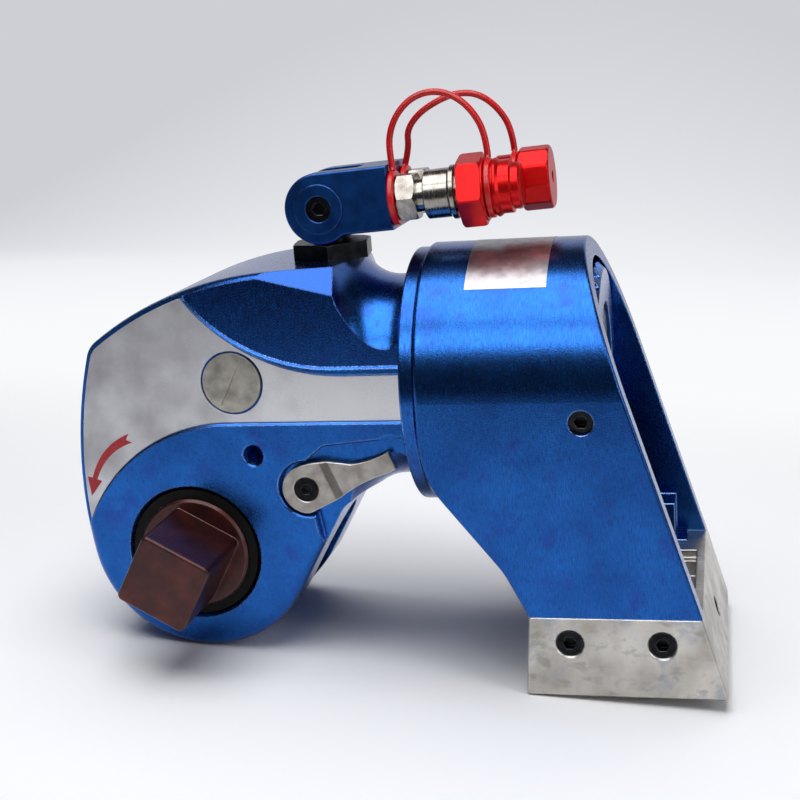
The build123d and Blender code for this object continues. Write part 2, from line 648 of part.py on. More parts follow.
def gland_bush():
    bush = tube_x(GLAND_R - 0.02, ROD_R + RUN_PLAY, GLAND_X + 0.2, BORE_START - 0.3)
    return bush - tube_x(ROD_R + 3.0, ROD_R, 107.0, 111.5)


def rod_seal():
    return tube_x(ROD_R + 2.95, ROD_R + 0.03, 107.1, 111.4)


def end_cap():
    """Screwed cap that closes the barrel, with two spanner holes and a tapped hole for its plug."""
    cap = along_x(CAP_SEAT_R - 0.05, CAP_SEAT_X + 0.1, BARREL_END - 2.0)
    cap = cap - tube_x(BORE_R + 3.0, BORE_R + 1.0, CAP_SEAT_X, CAP_SEAT_X + 3.0)
    for turn in (60, 240):
        y, z = polar(22.0, turn)
        cap = cap - along_x(3.0, BARREL_END - 9.0, BARREL_END, y, CYL_H + z)
    return cap - along_x(5.0, BARREL_END - 9.0, BARREL_END, 0.0, CYL_H + 14.0)


def cap_ring():
    return tube_x(BORE_R + 2.95, BORE_R + 1.05, CAP_SEAT_X + 0.1, CAP_SEAT_X + 2.9)


def port_plug():
    plug = along_x(4.95, BARREL_END - 8.8, BARREL_END - 1.0, 0.0, CYL_H + 14.0)
    socket = Pos(0, CYL_H + 14.0) * RegularPolygon(2.5, 6)
    return plug - extrude(Plane.YZ.offset(BARREL_END - 4.0) * socket, amount=4)


def release_shaft():
    """Shaft of the release lever; a flat on it turns the reaction pawl."""
    shaft = along_y(SHAFT2_R, -POCKET_Y - 0.2, RATCHET_HALF + 7.5, PIVOT_X, PIVOT_Z)
    return shaft - along_y(3.0, -POCKET_Y - 1, -POCKET_Y + 12, PIVOT_X, PIVOT_Z)


def reaction_pawl():
    """Strut pawl on the release shaft; its nose stands just off the ratchet's crests."""
    inner = RATCHET_TIP_R + PAWL_LIFT
    nose = saw_edge(inner, PAWL_ANGLE, 1)
    arm = outline(*nose, polar(inner + 7.0, PAWL_ANGLE + 3.0), (PAWL_SPRING_X + 4.5, PAWL_TOP),
                  (PIVOT_X, PIVOT_Z + 8.9), (PIVOT_X - 1.0, PIVOT_Z - 8.9), (50.5, 30.0), polar(inner, 42.0),
                  polar(inner, 50.0))
    half = RATCHET_HALF - 0.6
    pawl = outline_slab(arm, -half, half) + along_y(9.0, -half, half, PIVOT_X, PIVOT_Z)
    pawl = pawl - Pos(PAWL_SPRING_X, 0, PAWL_TOP - 2.0) * Cylinder(3.8, 30, align=(
        Align.CENTER, Align.CENTER, Align.MIN))
    return pawl - along_y(SHAFT2_R + 0.02, -60, 60, PIVOT_X, PIVOT_Z)


def pawl_spring():
    """Spring that keeps the reaction pawl down on the ratchet."""
    spring = Cylinder(3.5, PAWL_SPRING_L, align=(Align.CENTER, Align.CENTER, Align.MIN))
    spring = spring - Cylinder(2.3, 60.0)
    return Pos(PAWL_SPRING_X, 0, PAWL_TOP - 1.9) * spring


def release_lever():
    """Bare steel lever: a round end on its screw, a step, and a waisted finger tab."""
    front = -POCKET_Y - 0.3 - LEVER2_T
    face = closed(
        ThreePointArc((57.0, 44.8), (PIVOT_X - LEVER2_R, PIVOT_Z + 0.4), (59.0, 23.2)),
        ThreePointArc((59.0, 23.2), (63.2, 22.0), (66.0, 22.2)),
        Line((66.0, 22.2), (82.4, 30.2)),
        ThreePointArc((82.4, 30.2), (93.0, 36.8), (108.0, 42.6)),
        Line((108.0, 42.6), (111.6, 44.6)),
        Line((111.6, 44.6), (108.0, 53.6)),
        ThreePointArc((108.0, 53.6), (98.0, 49.2), (88.0, 47.2)),
        ThreePointArc((88.0, 47.2), (82.0, 48.0), (75.0, 48.8)),
        ThreePointArc((75.0, 48.8), (65.0, 47.8), (57.0, 44.8)),
    )
    lever = outline_slab(face, front, -POCKET_Y - 0.3)
    # the tab is thinner than the round end, behind a sloping step
    step = outline((76.5, 0.0), (80.5, 1.8), (130.0, 1.8), (130.0, -5.0), (76.5, -5.0))
    across = Plane(origin=(0, front, 38.0), x_dir=(1, 0, 0), z_dir=(0, 0, 1))
    tool = extrude(across * step, amount=40, both=True)
    lever = lever - Pos(PIVOT_X, 0, PIVOT_Z) * Rot(0, -22.0, 0) * Pos(-PIVOT_X, 0, -PIVOT_Z) * tool
    lever = lever - along_y(6.6, front - 1, front + 3.6, PIVOT_X, PIVOT_Z)
    return lever - along_y(3.2, front - 1, 0, PIVOT_X, PIVOT_Z)


def socket_screw(head_r, head_l, shank_r, shank_l, socket_r, socket_depth):
    """A socket screw on the Z axis: head from zero up, shank down."""
    screw = Cylinder(head_r, head_l, align=(Align.CENTER, Align.CENTER, Align.MIN))
    screw = screw + Cylinder(shank_r, shank_l, align=(Align.CENTER, Align.CENTER, Align.MAX))
    floor = Plane.XY.offset(head_l - socket_depth)
    socket = extrude(floor * RegularPolygon(socket_r, 6), amount=socket_depth + 1)
    return screw - socket


def release_screw():
    seat = -POCKET_Y - 0.3 - LEVER2_T + 3.6
    screw = socket_screw(6.4, 3.4, 2.95, 11.0, 3.0, 2.6)
    return Pos(PIVOT_X, seat, PIVOT_Z) * Rot(90, 0, 0) * screw


def arm_outline():
    """Side view of the reaction arm: a straight left side that sweeps out to the foot."""
    def end_x(z):
        return ARM_FOOT_X + ARM_SLOPE * (FOOT_TOP - z)
    top = CYL_H + ARM_R + 1.0
    bend = 47.0
    knee = (166.0, -2.0)
    toe = (FOOT_X0_TOP, FOOT_TOP)
    left = FilletPolyline((ARM_X0, top), (ARM_X0, bend), knee, toe, radius=(50.0, 40.0))
    return closed(*left.edges(), Line((FOOT_X0_TOP, FOOT_TOP), (ARM_FOOT_X, FOOT_TOP)),
                  Line((ARM_FOOT_X, FOOT_TOP), (end_x(top), top)), Line((end_x(top), top), (ARM_X0, top)))


def obround(radius, low):
    """Round at the top, straight sided below, seen along the cylinder."""
    return Pos(0, CYL_H) * Circle(radius) + Pos(0, (CYL_H + low) / 2) * Rectangle(2 * radius, CYL_H - low)


def reaction_arm():
    outer = extrude(Plane.YZ.offset(ARM_X0) * obround(ARM_R, FOOT_TOP), amount=160)
    body = outline_slab(arm_outline(), -ARM_R - 1, ARM_R + 1) & outer
    ends = [e for e in body.edges() if e.center().Z > FOOT_TOP + 0.5 and abs((e % 0.5).X) < 0.999]
    body = fillet(ends, ARM_EDGE)
    inner = extrude(Plane.YZ.offset(100) * obround(ARM_R - ARM_WALL, FOOT_TOP - 5), amount=220)
    hollow = outline((ARM_SPLINE_END, 220), (ARM_SPLINE_END, 8), (189.0, FOOT_TOP - 6), (330, FOOT_TOP - 6),
                     (330, 220))
    body = body - (outline_slab(hollow, -80, 80) & inner)
    teeth = toothed(SPLINE_TEETH, SPLINE_TIP_R + SPLINE_PLAY, SPLINE_ROOT_R + SPLINE_PLAY, 0.36, 0.28)
    start = Plane.YZ.offset(ARM_X0 - 1)
    splines = extrude(start * (Pos(0, CYL_H) * teeth), amount=ARM_SPLINE_END - ARM_X0 + 2)
    body = body - splines
    # thickened inner walls that run on as tenon legs into the foot
    wall = Pos((LEG_X0 + LEG_X1 - 6) / 2, (LEG_IN + ARM_R - ARM_WALL / 2) / 2, (FOOT_TOP - 3) / 2) * Box(
        LEG_X1 - 6 - LEG_X0, ARM_R - ARM_WALL / 2 - LEG_IN, -3 - FOOT_TOP)
    leg = Pos((LEG_X0 + LEG_X1) / 2, (LEG_IN + LEG_OUT) / 2, (LEG_BOTTOM + FOOT_TOP + 1) / 2) * Box(
        LEG_X1 - LEG_X0, LEG_OUT - LEG_IN, FOOT_TOP + 1 - LEG_BOTTOM)
    for x in FOOT_SCREW_X:
        leg = leg - along_y(SCREW_R + 0.05, 30, 80, x, FOOT_SCREW_Z)
    for part in both_sides(wall) + both_sides(leg):
        body = body + part
    hole = Pos(0, 0, CYL_H) * Rot(SET_SCREW_DEG, 0, 0) * Pos(0, 0, -CYL_H) * along_y(
        SET_SCREW_R + 0.05, -ARM_R - 2, -ARM_R + ARM_WALL + 6, SET_SCREW_X, CYL_H)
    return body - hole


def arm_set_screw():
    """Socket set screw that locks the arm in the barrel's groove, drawn backed off."""
    screw = along_y(SET_SCREW_R, -ARM_R + 0.3, -SPLINE_TIP_R - 0.35, SET_SCREW_X, CYL_H)
    socket = outline_slab(Pos(SET_SCREW_X, CYL_H) * RegularPolygon(3.4, 6), -ARM_R - 1, -ARM_R + 5)
    return Pos(0, 0, CYL_H) * Rot(SET_SCREW_DEG, 0, 0) * Pos(0, 0, -CYL_H) * (screw - socket)


def foot_end():
    """Plane of the foot's slanted end face, with its normal pointing out."""
    rise = FOOT_TOP - FOOT_BOTTOM
    run = FOOT_X1 - ARM_FOOT_X
    middle = ((FOOT_X1 + ARM_FOOT_X) / 2, 0, (FOOT_TOP + FOOT_BOTTOM) / 2)
    return Plane(origin=middle, x_dir=(0, 1, 0), z_dir=(rise, 0, run))


def foot_hollow():
    """Hollow in the top of the foot behind its end wall, with a ledge along each long side."""
    def end_x(z):
        return ARM_FOOT_X + (FOOT_TOP - z) * FOOT_LEAN / (FOOT_TOP - FOOT_BOTTOM) - POCKET_WALL

    def trough(half, depth):
        low, top = FOOT_TOP - depth, FOOT_TOP + 1.0
        side = outline((POCKET_X0, top), (POCKET_X0, low), (end_x(low), low), (end_x(top), top))
        return outline_slab(side, -half, half)

    return trough(POCKET_HALF, POCKET_DEPTH / 3) + trough(POCKET_HALF - LEDGE, POCKET_DEPTH)


def foot_screw_bore(x):
    """Bore, counterbore and bevelled mouth of one foot screw on the far side."""
    bores = along_y(SCREW_R + 0.35, LEG_OUT - 1, ARM_R + 1, x, FOOT_SCREW_Z)
    bores = bores + along_y(SCREW_HEAD_R + 0.4, ARM_R - SCREW_SINK, ARM_R + 1, x, FOOT_SCREW_Z)
    return bores + Pos(0, ARM_R - HEAD_HALF, 0) * bevel_y(SCREW_HEAD_R + 0.4, MOUTH, x, FOOT_SCREW_Z)


def reaction_foot():
    side = outline((FOOT_X0_TOP, FOOT_TOP), (FOOT_X0, FOOT_BOTTOM), (FOOT_X1, FOOT_BOTTOM),
                   (ARM_FOOT_X, FOOT_TOP))
    body = outline_slab(side, -ARM_R, ARM_R)
    body = chamfer(body.edges().filter_by(Axis.Y).sort_by(Axis.Z)[:2], 1.5)
    rims = [e for e in body.edges() if abs(abs(e.center().Y) - ARM_R) < 0.01]
    body = chamfer([e for e in rims if e.center().Z < FOOT_TOP - 1], 1.0)
    play = 2 * FIT_PLAY
    pocket = Pos((LEG_X0 + LEG_X1) / 2, (LEG_IN + LEG_OUT) / 2, (LEG_BOTTOM + FOOT_TOP) / 2) * Box(
        LEG_X1 - LEG_X0 + play, LEG_OUT - LEG_IN + play, FOOT_TOP - LEG_BOTTOM + play)
    body = body - foot_hollow()
    for tool in [pocket] + [foot_screw_bore(x) for x in FOOT_SCREW_X]:
        for part in both_sides(tool):
            body = body - part
    hole = foot_end() * Cylinder(END_HOLE_R, 2 * END_HOLE_DEPTH)
    return body - hole


def foot_screws():
    group = []
    for x in FOOT_SCREW_X:
        screw = Pos(x, -ARM_R + SCREW_SINK, FOOT_SCREW_Z) * Rot(90, 0, 0) * socket_screw(
            SCREW_HEAD_R, 8.2, SCREW_R, 14.5, 3.4, 4.5)
        group += both_sides(screw)
    return Compound(group)


SWIVEL = Pos(SWIVEL_X, 0, SWIVEL_Z) * Rot(0, -SWIVEL_TILT, 0)


def swivel_base():
    """Black hexagon that screws into the head and holds the turning post."""
    hexagon = Rot(0, 0, HEX_TURN + 30) * RegularPolygon(HEX_AF / 2, 6, major_radius=False)
    body = extrude(Plane.XY.offset(HEAD_TOP + 0.05) * hexagon, amount=HEX_TOP - HEAD_TOP - 0.05)
    stem = Cylinder(15.0, 16.8, align=(Align.CENTER, Align.CENTER, Align.MAX))
    body = body + Pos(0, 0, HEAD_TOP + 1) * stem
    dome = Pos(0, 0, HEX_TOP - 80) * Sphere(hypot(80.0, HEX_AF / 2 + 1.0))
    body = body & dome
    return Pos(SWIVEL_X, 0, 0) * (body - Pos(0, 0, HEAD_TOP) * Cylinder(POST_R + RUN_PLAY, 60))


def swivel_post():
    """Turning post with a cross eye for the yoke's pin."""
    eye = along_y(EYE_R, -EYE_HALF, EYE_HALF, SWIVEL_X, SWIVEL_Z)
    neck = Pos(SWIVEL_X, 0, HEAD_TOP - 14) * Cylinder(
        min(POST_R, EYE_HALF + 0.6), SWIVEL_Z - HEAD_TOP + 14, align=(Align.CENTER, Align.CENTER, Align.MIN))
    slab = Pos(SWIVEL_X, 0, SWIVEL_Z) * Box(60, 2 * EYE_HALF, 2 * (SWIVEL_Z - HEX_TOP))
    low = Pos(SWIVEL_X, 0, HEX_TOP + 0.2) * Box(80, 80, 200, align=(Align.CENTER, Align.CENTER, Align.MAX))
    body = (neck & low) + (neck & slab) + eye
    return body - along_y(SWIVEL_PIN_R + RUN_PLAY, -60, 60, SWIVEL_X, SWIVEL_Z)


def swivel_yoke():
    """Blue fork that carries both couplers; the fork straddles the post's eye."""
    throat = (YOKE_R ** 2 - YOKE_LOW ** 2) ** 0.5
    side = Circle(YOKE_R) + outline((0, YOKE_R), (YOKE_U, YOKE_R), (YOKE_U, YOKE_LOW),
                                    (throat, YOKE_LOW), (0, 0))
    corner = [v for v in side.vertices() if abs(v.X - throat) < 0.1 and v.Y < 0]
    side = fillet(corner, 5.0)
    body = outline_slab(side, -YOKE_HALF, YOKE_HALF)
    body = fillet([e for e in body.edges() if abs(abs(e.center().Y) - YOKE_HALF) < 0.01], 1.2)
    gap = EYE_HALF + FORK_PLAY
    slot = outline_slab(Circle(EYE_R + 0.8) + Pos(-20, 0) * Rectangle(40, 2 * (EYE_R + 4)), -gap, gap)
    slot = slot + outline_slab(Pos(2.0, -20) * Rectangle(2 * EYE_R + 5.6, 40), -gap, gap)
    trough = Pos(9.0, 0, YOKE_R) * Box(22.0, 2 * gap, 12.0)
    body = body - slot - trough
    body = body - along_y(SWIVEL_PIN_R + 0.03, -60, 60)
    for part in both_sides(along_y(BOSS_R + 0.1, YOKE_HALF - 2.0, YOKE_HALF + 1)):
        body = body - part
    for y in (-PORT_Y, PORT_Y):
        body = body - along_x(PORT_THREAD_R + 0.05, YOKE_U - 12.0, YOKE_U + 1, y, PORT_V)
    return SWIVEL * body


def swivel_pin():
    half = YOKE_HALF - 2.0
    pin = along_y(SWIVEL_PIN_R, -half, half) + along_y(PIN_HEAD_R, -half - 1.6, half + 1.6)
    for part in both_sides(outline_slab(RegularPolygon(3.6, 6), half - 2.0, half + 3.0)):
        pin = pin - part
    return SWIVEL * pin


def pin_washers():
    """Round bosses let into both sides of the yoke round the pin."""
    ring = tube_y(BOSS_R, PIN_HEAD_R + 0.05, YOKE_HALF - 1.95, YOKE_HALF + 0.8)
    ring = fillet(ring.edges().filter_by(GeomType.CIRCLE).sort_by(Axis.Y)[-2:], 0.5)
    return Compound([SWIVEL * part for part in both_sides(ring)])


def turned(profile, y):
    """A turned part on a coupler axis, from (u, radius) steps; the ends close on the axis."""
    points = [(profile[0][0], 0.0)] + [(u, r) for u, r in profile] + [(profile[-1][0], 0.0)]
    face = Plane.XZ * outline(*points)
    return Pos(0, y, PORT_V) * revolve(face, axis=Axis.X)


def hexagon_x(across, u0, u1, y):
    prism = extrude(Plane.YZ.offset(u0) * RegularPolygon(across / 2, 6, major_radius=False), amount=u1 - u0)
    cone = turned([(u0, across / 2 + 0.2), (u0 + 1.2, across / 2 + 2), (u1 - 1.2, across / 2 + 2),
                   (u1, across / 2 + 0.2)], 0.0)
    return Pos(0, y, PORT_V) * prism & Pos(0, y, 0) * cone


def coupler_near():
    """Female quick coupler: hexagon, neck, sleeve, ring, and the mouth inside its cap."""
    face = YOKE_U + 0.05
    body = turned([(YOKE_U - 11.0, PORT_THREAD_R), (face, PORT_THREAD_R), (face, 7.9), (50.5, 7.9),
                   (50.5, 8.2), (54.8, 8.2), (54.8, 11.6), (55.3, 12.1), (67.0, 12.1), (67.6, 11.4),
                   (67.6, 12.8), (68.1, 13.3), (70.1, 13.3), (70.6, 12.8), (70.6, 10.0), (91.0, 10.0),
                   (92.0, 9.0)], -PORT_Y)
    body = body + hexagon_x(22.0, 41.0, 50.5, -PORT_Y)
    return SWIVEL * (body - along_x(5.5, 84.0, 93.0, -PORT_Y, PORT_V))


def coupler_far():
    """Male nipple: hexagon, thread relief, body and the long nose inside its cap."""
    face = YOKE_U + 0.05
    body = turned([(YOKE_U - 11.0, PORT_THREAD_R), (face, PORT_THREAD_R), (face, 7.9), (50.5, 7.9),
                   (50.5, 7.6), (54.0, 7.6), (54.0, 9.6), (54.6, 10.2), (67.0, 10.2),
                   (67.6, 9.6), (67.6, 8.8), (101.0, 8.8), (103.0, 7.0)], PORT_Y)
    body = body + hexagon_x(22.0, 41.0, 50.5, PORT_Y)
    return SWIVEL * (body - along_x(3.0, 94.0, 104.0, PORT_Y, PORT_V))


def faceted(sides, turn, radius, u0, u1, y):
    """A many-sided prism on a coupler axis with both ends and all corners eased."""
    prism = extrude(Plane.YZ.offset(u0) * (Rot(0, 0, turn) * RegularPolygon(radius, sides)), amount=u1 - u0)
    eased = turned([(u0, radius - 1.3), (u0 + 0.4, radius - 0.7), (u0 + 1.3, radius - 0.2),
                    (u1 - 1.3, radius - 0.2), (u1 - 0.4, radius - 0.7), (u1, radius - 1.3)], 0.0)
    return Pos(0, y, PORT_V) * prism & Pos(0, y, 0) * eased


def cap_near():
    """Red dust cap of the female coupler: a six-sided skirt, a strap groove and a round front."""
    body = turned([(72.4, 13.0), (89.4, 13.0), (89.6, 14.0), (90.0, 14.4), (91.0, 14.2), (92.5, 13.1),
                   (97.6, 13.1), (98.2, 11.4), (101.6, 11.2), (102.4, 10.4)], -PORT_Y)
    body = body + faceted(6, 12.0, 18.6, 72.4, 84.3, -PORT_Y)
    body = body + turned([(84.2, 15.8), (85.0, 15.6), (85.2, 15.2), (85.2, 13.0)], -PORT_Y)
    return SWIVEL * (body - along_x(10.08, 72.0, 95.0, -PORT_Y, PORT_V))


def cap_far():
    """Red dust cap of the nipple: a waist, a strap groove and a ten-sided end with a vent hole."""
    body = turned([(86.5, 12.2), (86.8, 12.9), (87.4, 13.2), (93.8, 13.2), (93.9, 13.0), (98.8, 13.0)],
                  PORT_Y)
    body = body + faceted(10, 9.0, 16.2, 98.6, 114.0, PORT_Y)
    body = body - along_x(8.88, 86.0, 106.0, PORT_Y, PORT_V)
    return SWIVEL * (body - along_x(3.2, 105.0, 115.0, PORT_Y, PORT_V))


def ring_on_port(outer, inner, u, y):
    ring = tube_x(outer, inner, u, u + CORD_D, y, PORT_V)
    return SWIVEL * fillet(ring.edges().filter_by(GeomType.CIRCLE).sort_by(SortBy.RADIUS)[-2:], 1.0)


NECK_RING_U = YOKE_U + 0.3
CAP_RING_U = {"near": 85.4, "far": 94.5}
RING_R = 13.8
CAP_RING_R = 14.6
SIDE = {"near": -PORT_Y, "far": PORT_Y}


# Points of each tether in the swivel's own frame: along, across from the port, above the pin.
TETHER = {
    "near": [(39.0, 0.0, 14.85), (38.1, 1.0, 24.5), (39.4, 2.0, 33.5), (44.0, 3.0, 42.0),
             (52.0, 4.0, 48.6), (62.5, 4.0, 50.6), (73.0, 3.0, 47.2), (81.5, 2.0, 39.0),
             (86.9, 1.0, 27.0), (87.0, 0.0, 15.7)],
    "far": [(39.0, 0.0, 14.85), (42.3, -1.0, 23.0), (42.6, -2.0, 32.0), (49.5, -3.0, 39.5),
            (59.0, -3.5, 44.4), (70.0, -4.0, 47.6), (81.0, -3.5, 46.2), (90.0, -2.5, 38.6),
            (96.0, -1.0, 27.0), (96.1, 0.0, 15.7)],
}


def tether(side):
    """Round tether from neck ring to cap ring: straight runs joined by tangent arcs."""
    points = [Vector(u, SIDE[side] + y, v) for u, y, v in TETHER[side]]
    radii = []
    for before, here, after in zip(points, points[1:], points[2:]):
        first, second = here - before, after - here
        turn = radians(first.get_angle(second))
        radii.append(0.45 * min(first.length, second.length) / tan(turn / 2))
    print(f"tether {side} radii", [round(r, 1) for r in radii])
    path = FilletPolyline(*points, radius=radii)
    start = Plane(origin=points[0], z_dir=points[1] - points[0])
    tube = sweep(start * Circle(CORD_D / 2), path=path)
    print(f"tether {side} length", round(path.length, 1), "volume ratio",
          round(tube.volume / (path.length * pi * CORD_D ** 2 / 4), 4))
    return SWIVEL * tube


def build():
    save("housing", housing())
    save("cylinder", cylinder())
    near_plate = side_plate()
    save("side_plate_near", near_plate)
    save("side_plate_far", mirror(near_plate, about=Plane.XZ))
    save("pin_plug_near", pin_plug())
    save("pin_plug_far", mirror(pin_plug(), about=Plane.XZ))
    save("drive_bushes", Compound(both_sides(drive_bush())))
    save("drive_seal_near", drive_seal())
    save("drive_seal_far", mirror(drive_seal(), about=Plane.XZ))
    save("ratchet_wheel", ratchet_wheel())
    save("square_drive", square_drive())
    save("drive_retainer", drive_retainer())
    save("retainer_button", retainer_button())
    save("lever_plate_near", lever_plate())
    save("lever_plate_far", mirror(lever_plate(), about=Plane.XZ))
    save("lever_pin", lever_pin())
    save("drive_pawl", drive_pawl())
    save("drive_pawl_springs", drive_springs())
    save("spring_bridge", spring_bridge())
    save("piston_rod", piston_rod())
    save("piston", piston())
    save("piston_seals", piston_seals())
    save("piston_nut", piston_nut())
    save("gland_bush", gland_bush())
    save("rod_seal", rod_seal())
    save("end_cap", end_cap())
    save("end_cap_ring", cap_ring())
    save("port_plug", port_plug())
    save("release_shaft", release_shaft())
    save("reaction_pawl", reaction_pawl())
    save("reaction_pawl_spring", pawl_spring())
    save("release_lever", release_lever())
    save("release_lever_screw", release_screw())
    save("reaction_arm", reaction_arm())
    save("arm_set_screw", arm_set_screw())
    save("reaction_foot", reaction_foot())
    save("foot_screws", foot_screws())
    save("swivel_base", swivel_base())
    save("swivel_post", swivel_post())
    save("swivel_yoke", swivel_yoke())
    save("swivel_pin", swivel_pin())
    save("swivel_washers", pin_washers())
    save("coupler_near", coupler_near())
    save("coupler_far", coupler_far())
    save("cap_near", cap_near())
    save("cap_far", cap_far())
    for side in ("near", "far"):
        save(f"neck_ring_{side}", ring_on_port(RING_R, 8.1, NECK_RING_U, SIDE[side]))
        save(f"cap_ring_{side}", ring_on_port(CAP_RING_R, 13.05, CAP_RING_U[side], SIDE[side]))
        save(f"tether_{side}", tether(side))


build()
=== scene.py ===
# A hydraulic torque wrench with a square drive, dressed round its CAD frame, in metres.
import bpy
import numpy as np
from mathutils import Matrix, Vector


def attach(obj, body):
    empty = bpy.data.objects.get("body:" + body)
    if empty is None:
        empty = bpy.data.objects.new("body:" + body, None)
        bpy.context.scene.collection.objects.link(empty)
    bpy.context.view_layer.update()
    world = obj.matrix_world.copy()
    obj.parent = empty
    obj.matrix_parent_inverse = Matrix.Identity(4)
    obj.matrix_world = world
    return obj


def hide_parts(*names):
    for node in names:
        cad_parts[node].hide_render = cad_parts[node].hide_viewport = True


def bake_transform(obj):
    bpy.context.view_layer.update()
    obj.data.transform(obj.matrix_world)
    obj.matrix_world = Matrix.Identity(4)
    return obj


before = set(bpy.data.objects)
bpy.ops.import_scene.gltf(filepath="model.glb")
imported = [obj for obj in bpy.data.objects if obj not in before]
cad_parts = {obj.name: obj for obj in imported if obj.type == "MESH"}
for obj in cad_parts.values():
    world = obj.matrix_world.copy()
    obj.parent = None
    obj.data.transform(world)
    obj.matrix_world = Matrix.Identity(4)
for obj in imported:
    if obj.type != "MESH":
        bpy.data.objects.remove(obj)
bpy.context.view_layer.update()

# The camera stands to the front and a little to the right of the drive, above the tool's middle,
# with a short telephoto lens.  The tool lies pitched on its round head and the foot's edge, so
# the level camera is rolled against the tool's own frame.
IMAGE_PX = 800
FOCAL_PX = 1374.35
SENSOR_MM = 36.0
CAMERA_TURN, CAMERA_RISE, CAMERA_ROLL = np.radians([13.858, 14.094, -4.4147])
CAMERA_AIM = np.array([0.104852, 0.0, 0.068257])
CAMERA_FAR = 0.72521
level = np.array([np.cos(CAMERA_TURN), np.sin(CAMERA_TURN), 0.0])
backward = np.array([np.sin(CAMERA_TURN) * np.cos(CAMERA_RISE),
                     -np.cos(CAMERA_TURN) * np.cos(CAMERA_RISE),
                     np.sin(CAMERA_RISE)])
upright = np.cross(backward, level)
camera_right = np.cos(CAMERA_ROLL) * level + np.sin(CAMERA_ROLL) * upright
camera_up = -np.sin(CAMERA_ROLL) * level + np.cos(CAMERA_ROLL) * upright
camera = bpy.data.objects.new("camera", bpy.data.cameras.new("camera"))
bpy.context.collection.objects.link(camera)
camera.data.sensor_width = SENSOR_MM
camera.data.lens = FOCAL_PX / IMAGE_PX * SENSOR_MM
camera.data.clip_start = 0.01
columns = np.column_stack([camera_right, camera_up, backward, CAMERA_AIM + backward * CAMERA_FAR])
camera.matrix_world = Matrix(np.vstack([columns, [0.0, 0.0, 0.0, 1.0]]).tolist())
bpy.context.scene.camera = camera
bpy.context.scene.view_settings.view_transform = "Standard"


# Tethers: two round cords of moulded red rubber, each from a ring on its coupler's neck to a
# ring on its dust cap.  They are moulded in one with their rings and arch up between them.
def linear(code):
    """An sRGB hex colour as linear RGBA: c / 12.92 below 0.04045, else ((c + 0.055) / 1.055) ** 2.4."""
    srgb = np.array([int(code[i:i + 2], 16) / 255 for i in (1, 3, 5)])
    light = np.where(srgb <= 0.04045, srgb / 12.92, ((srgb + 0.055) / 1.055) ** 2.4)
    return (*light.tolist(), 1.0)


def node(tree, kind, inputs=None, **settings):
    """Adds one node with its settings; an input is a value or the socket that feeds it.

    Inputs go by name, or by number where names repeat: a Math node takes its terms as 0, 1 and 2, a
    Map Range the value as 0, its range as 1 and 2 and the range it gives as 3 and 4, and a Mix of
    colours the share as 0 and the colours as 6 and 7, and gives the mixed colour as output 2.
    """
    made = tree.nodes.new(kind)
    for name, value in settings.items():
        setattr(made, name, value)
    for socket, value in (inputs or {}).items():
        if isinstance(value, bpy.types.NodeSocket):
            tree.links.new(value, made.inputs[socket])
        else:
            made.inputs[socket].default_value = value
    return made


NOISE_LOW, NOISE_HIGH = 0.32, 0.68
EDGE_STARTS, EDGE_FULL = 0.985, 0.8


def new_material(name):
    """An empty node material: the material, its tree, and the Object coordinates it reads."""
    material = bpy.data.materials.new(name)
    material.use_nodes = True
    material.node_tree.nodes.clear()
    where = node(material.node_tree, "ShaderNodeTexCoord").outputs["Object"]
    return material, material.node_tree, where


def patches(tree, where, size_mm, low=0.0, high=1.0, detail=3.0, stretch=(1.0, 1.0, 1.0)):
    """Soft random patches size_mm across, from low to high; stretch below 1 draws them out on an axis.

    The noise lies mostly between NOISE_LOW and NOISE_HIGH, which are spread to low and high.
    """
    scaled = node(tree, "ShaderNodeMapping", {"Vector": where, "Scale": stretch})
    noise = node(tree, "ShaderNodeTexNoise",
                 {"Vector": scaled.outputs[0], "Scale": 1000.0 / size_mm, "Detail": detail})
    return node(tree, "ShaderNodeMapRange",
                {0: noise.outputs[0], 1: NOISE_LOW, 2: NOISE_HIGH, 3: low, 4: high}).outputs[0]


def rounded_edges(tree, width_mm):
    """A normal that rounds every edge over width_mm, and a mark from 0 on a flat to 1 on an edge.

    The mark comes from the cosine between the rounded normal and the true one, and grows from 0 at
    EDGE_STARTS to 1 at EDGE_FULL.
    """
    rounded = node(tree, "ShaderNodeBevel", {"Radius": width_mm / 1000}, samples=4).outputs[0]
    true = node(tree, "ShaderNodeNewGeometry").outputs["True Normal"]
    cosine = node(tree, "ShaderNodeVectorMath",
                  {0: rounded, 1: true}, operation="DOT_PRODUCT").outputs["Value"]
    mark = node(tree, "ShaderNodeMapRange", {0: cosine, 1: EDGE_STARTS, 2: EDGE_FULL, 3: 0.0, 4: 1.0})
    return rounded, mark.outputs[0]


def mesh_piece(name, points, faces, material, body, slot):
    """A mesh object from arrays of points and faces, riding on a body."""
    mesh = bpy.data.meshes.new(name)
    mesh.from_pydata(np.asarray(points).reshape(-1, 3).tolist(), [], [list(face) for face in faces])
    mesh.shade_smooth()
    mesh.materials.append(material)
    piece = bpy.data.objects.new(name, mesh)
    bpy.context.collection.objects.link(piece)
    if body:
        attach(piece, body)
    return piece


def grid_faces(rows, columns, wrap_columns=False):
    """Quads of a grid whose point (i, j) is i * columns + j, closed round on itself where asked."""
    i = np.arange(rows - 1)[:, None] * columns
    j = np.arange(columns if wrap_columns else columns - 1)[None, :]
    below, beside = i + columns, (j + 1) % columns
    return np.stack([i + j, below + j, below + beside, i + beside], axis=-1).reshape(-1, 4)


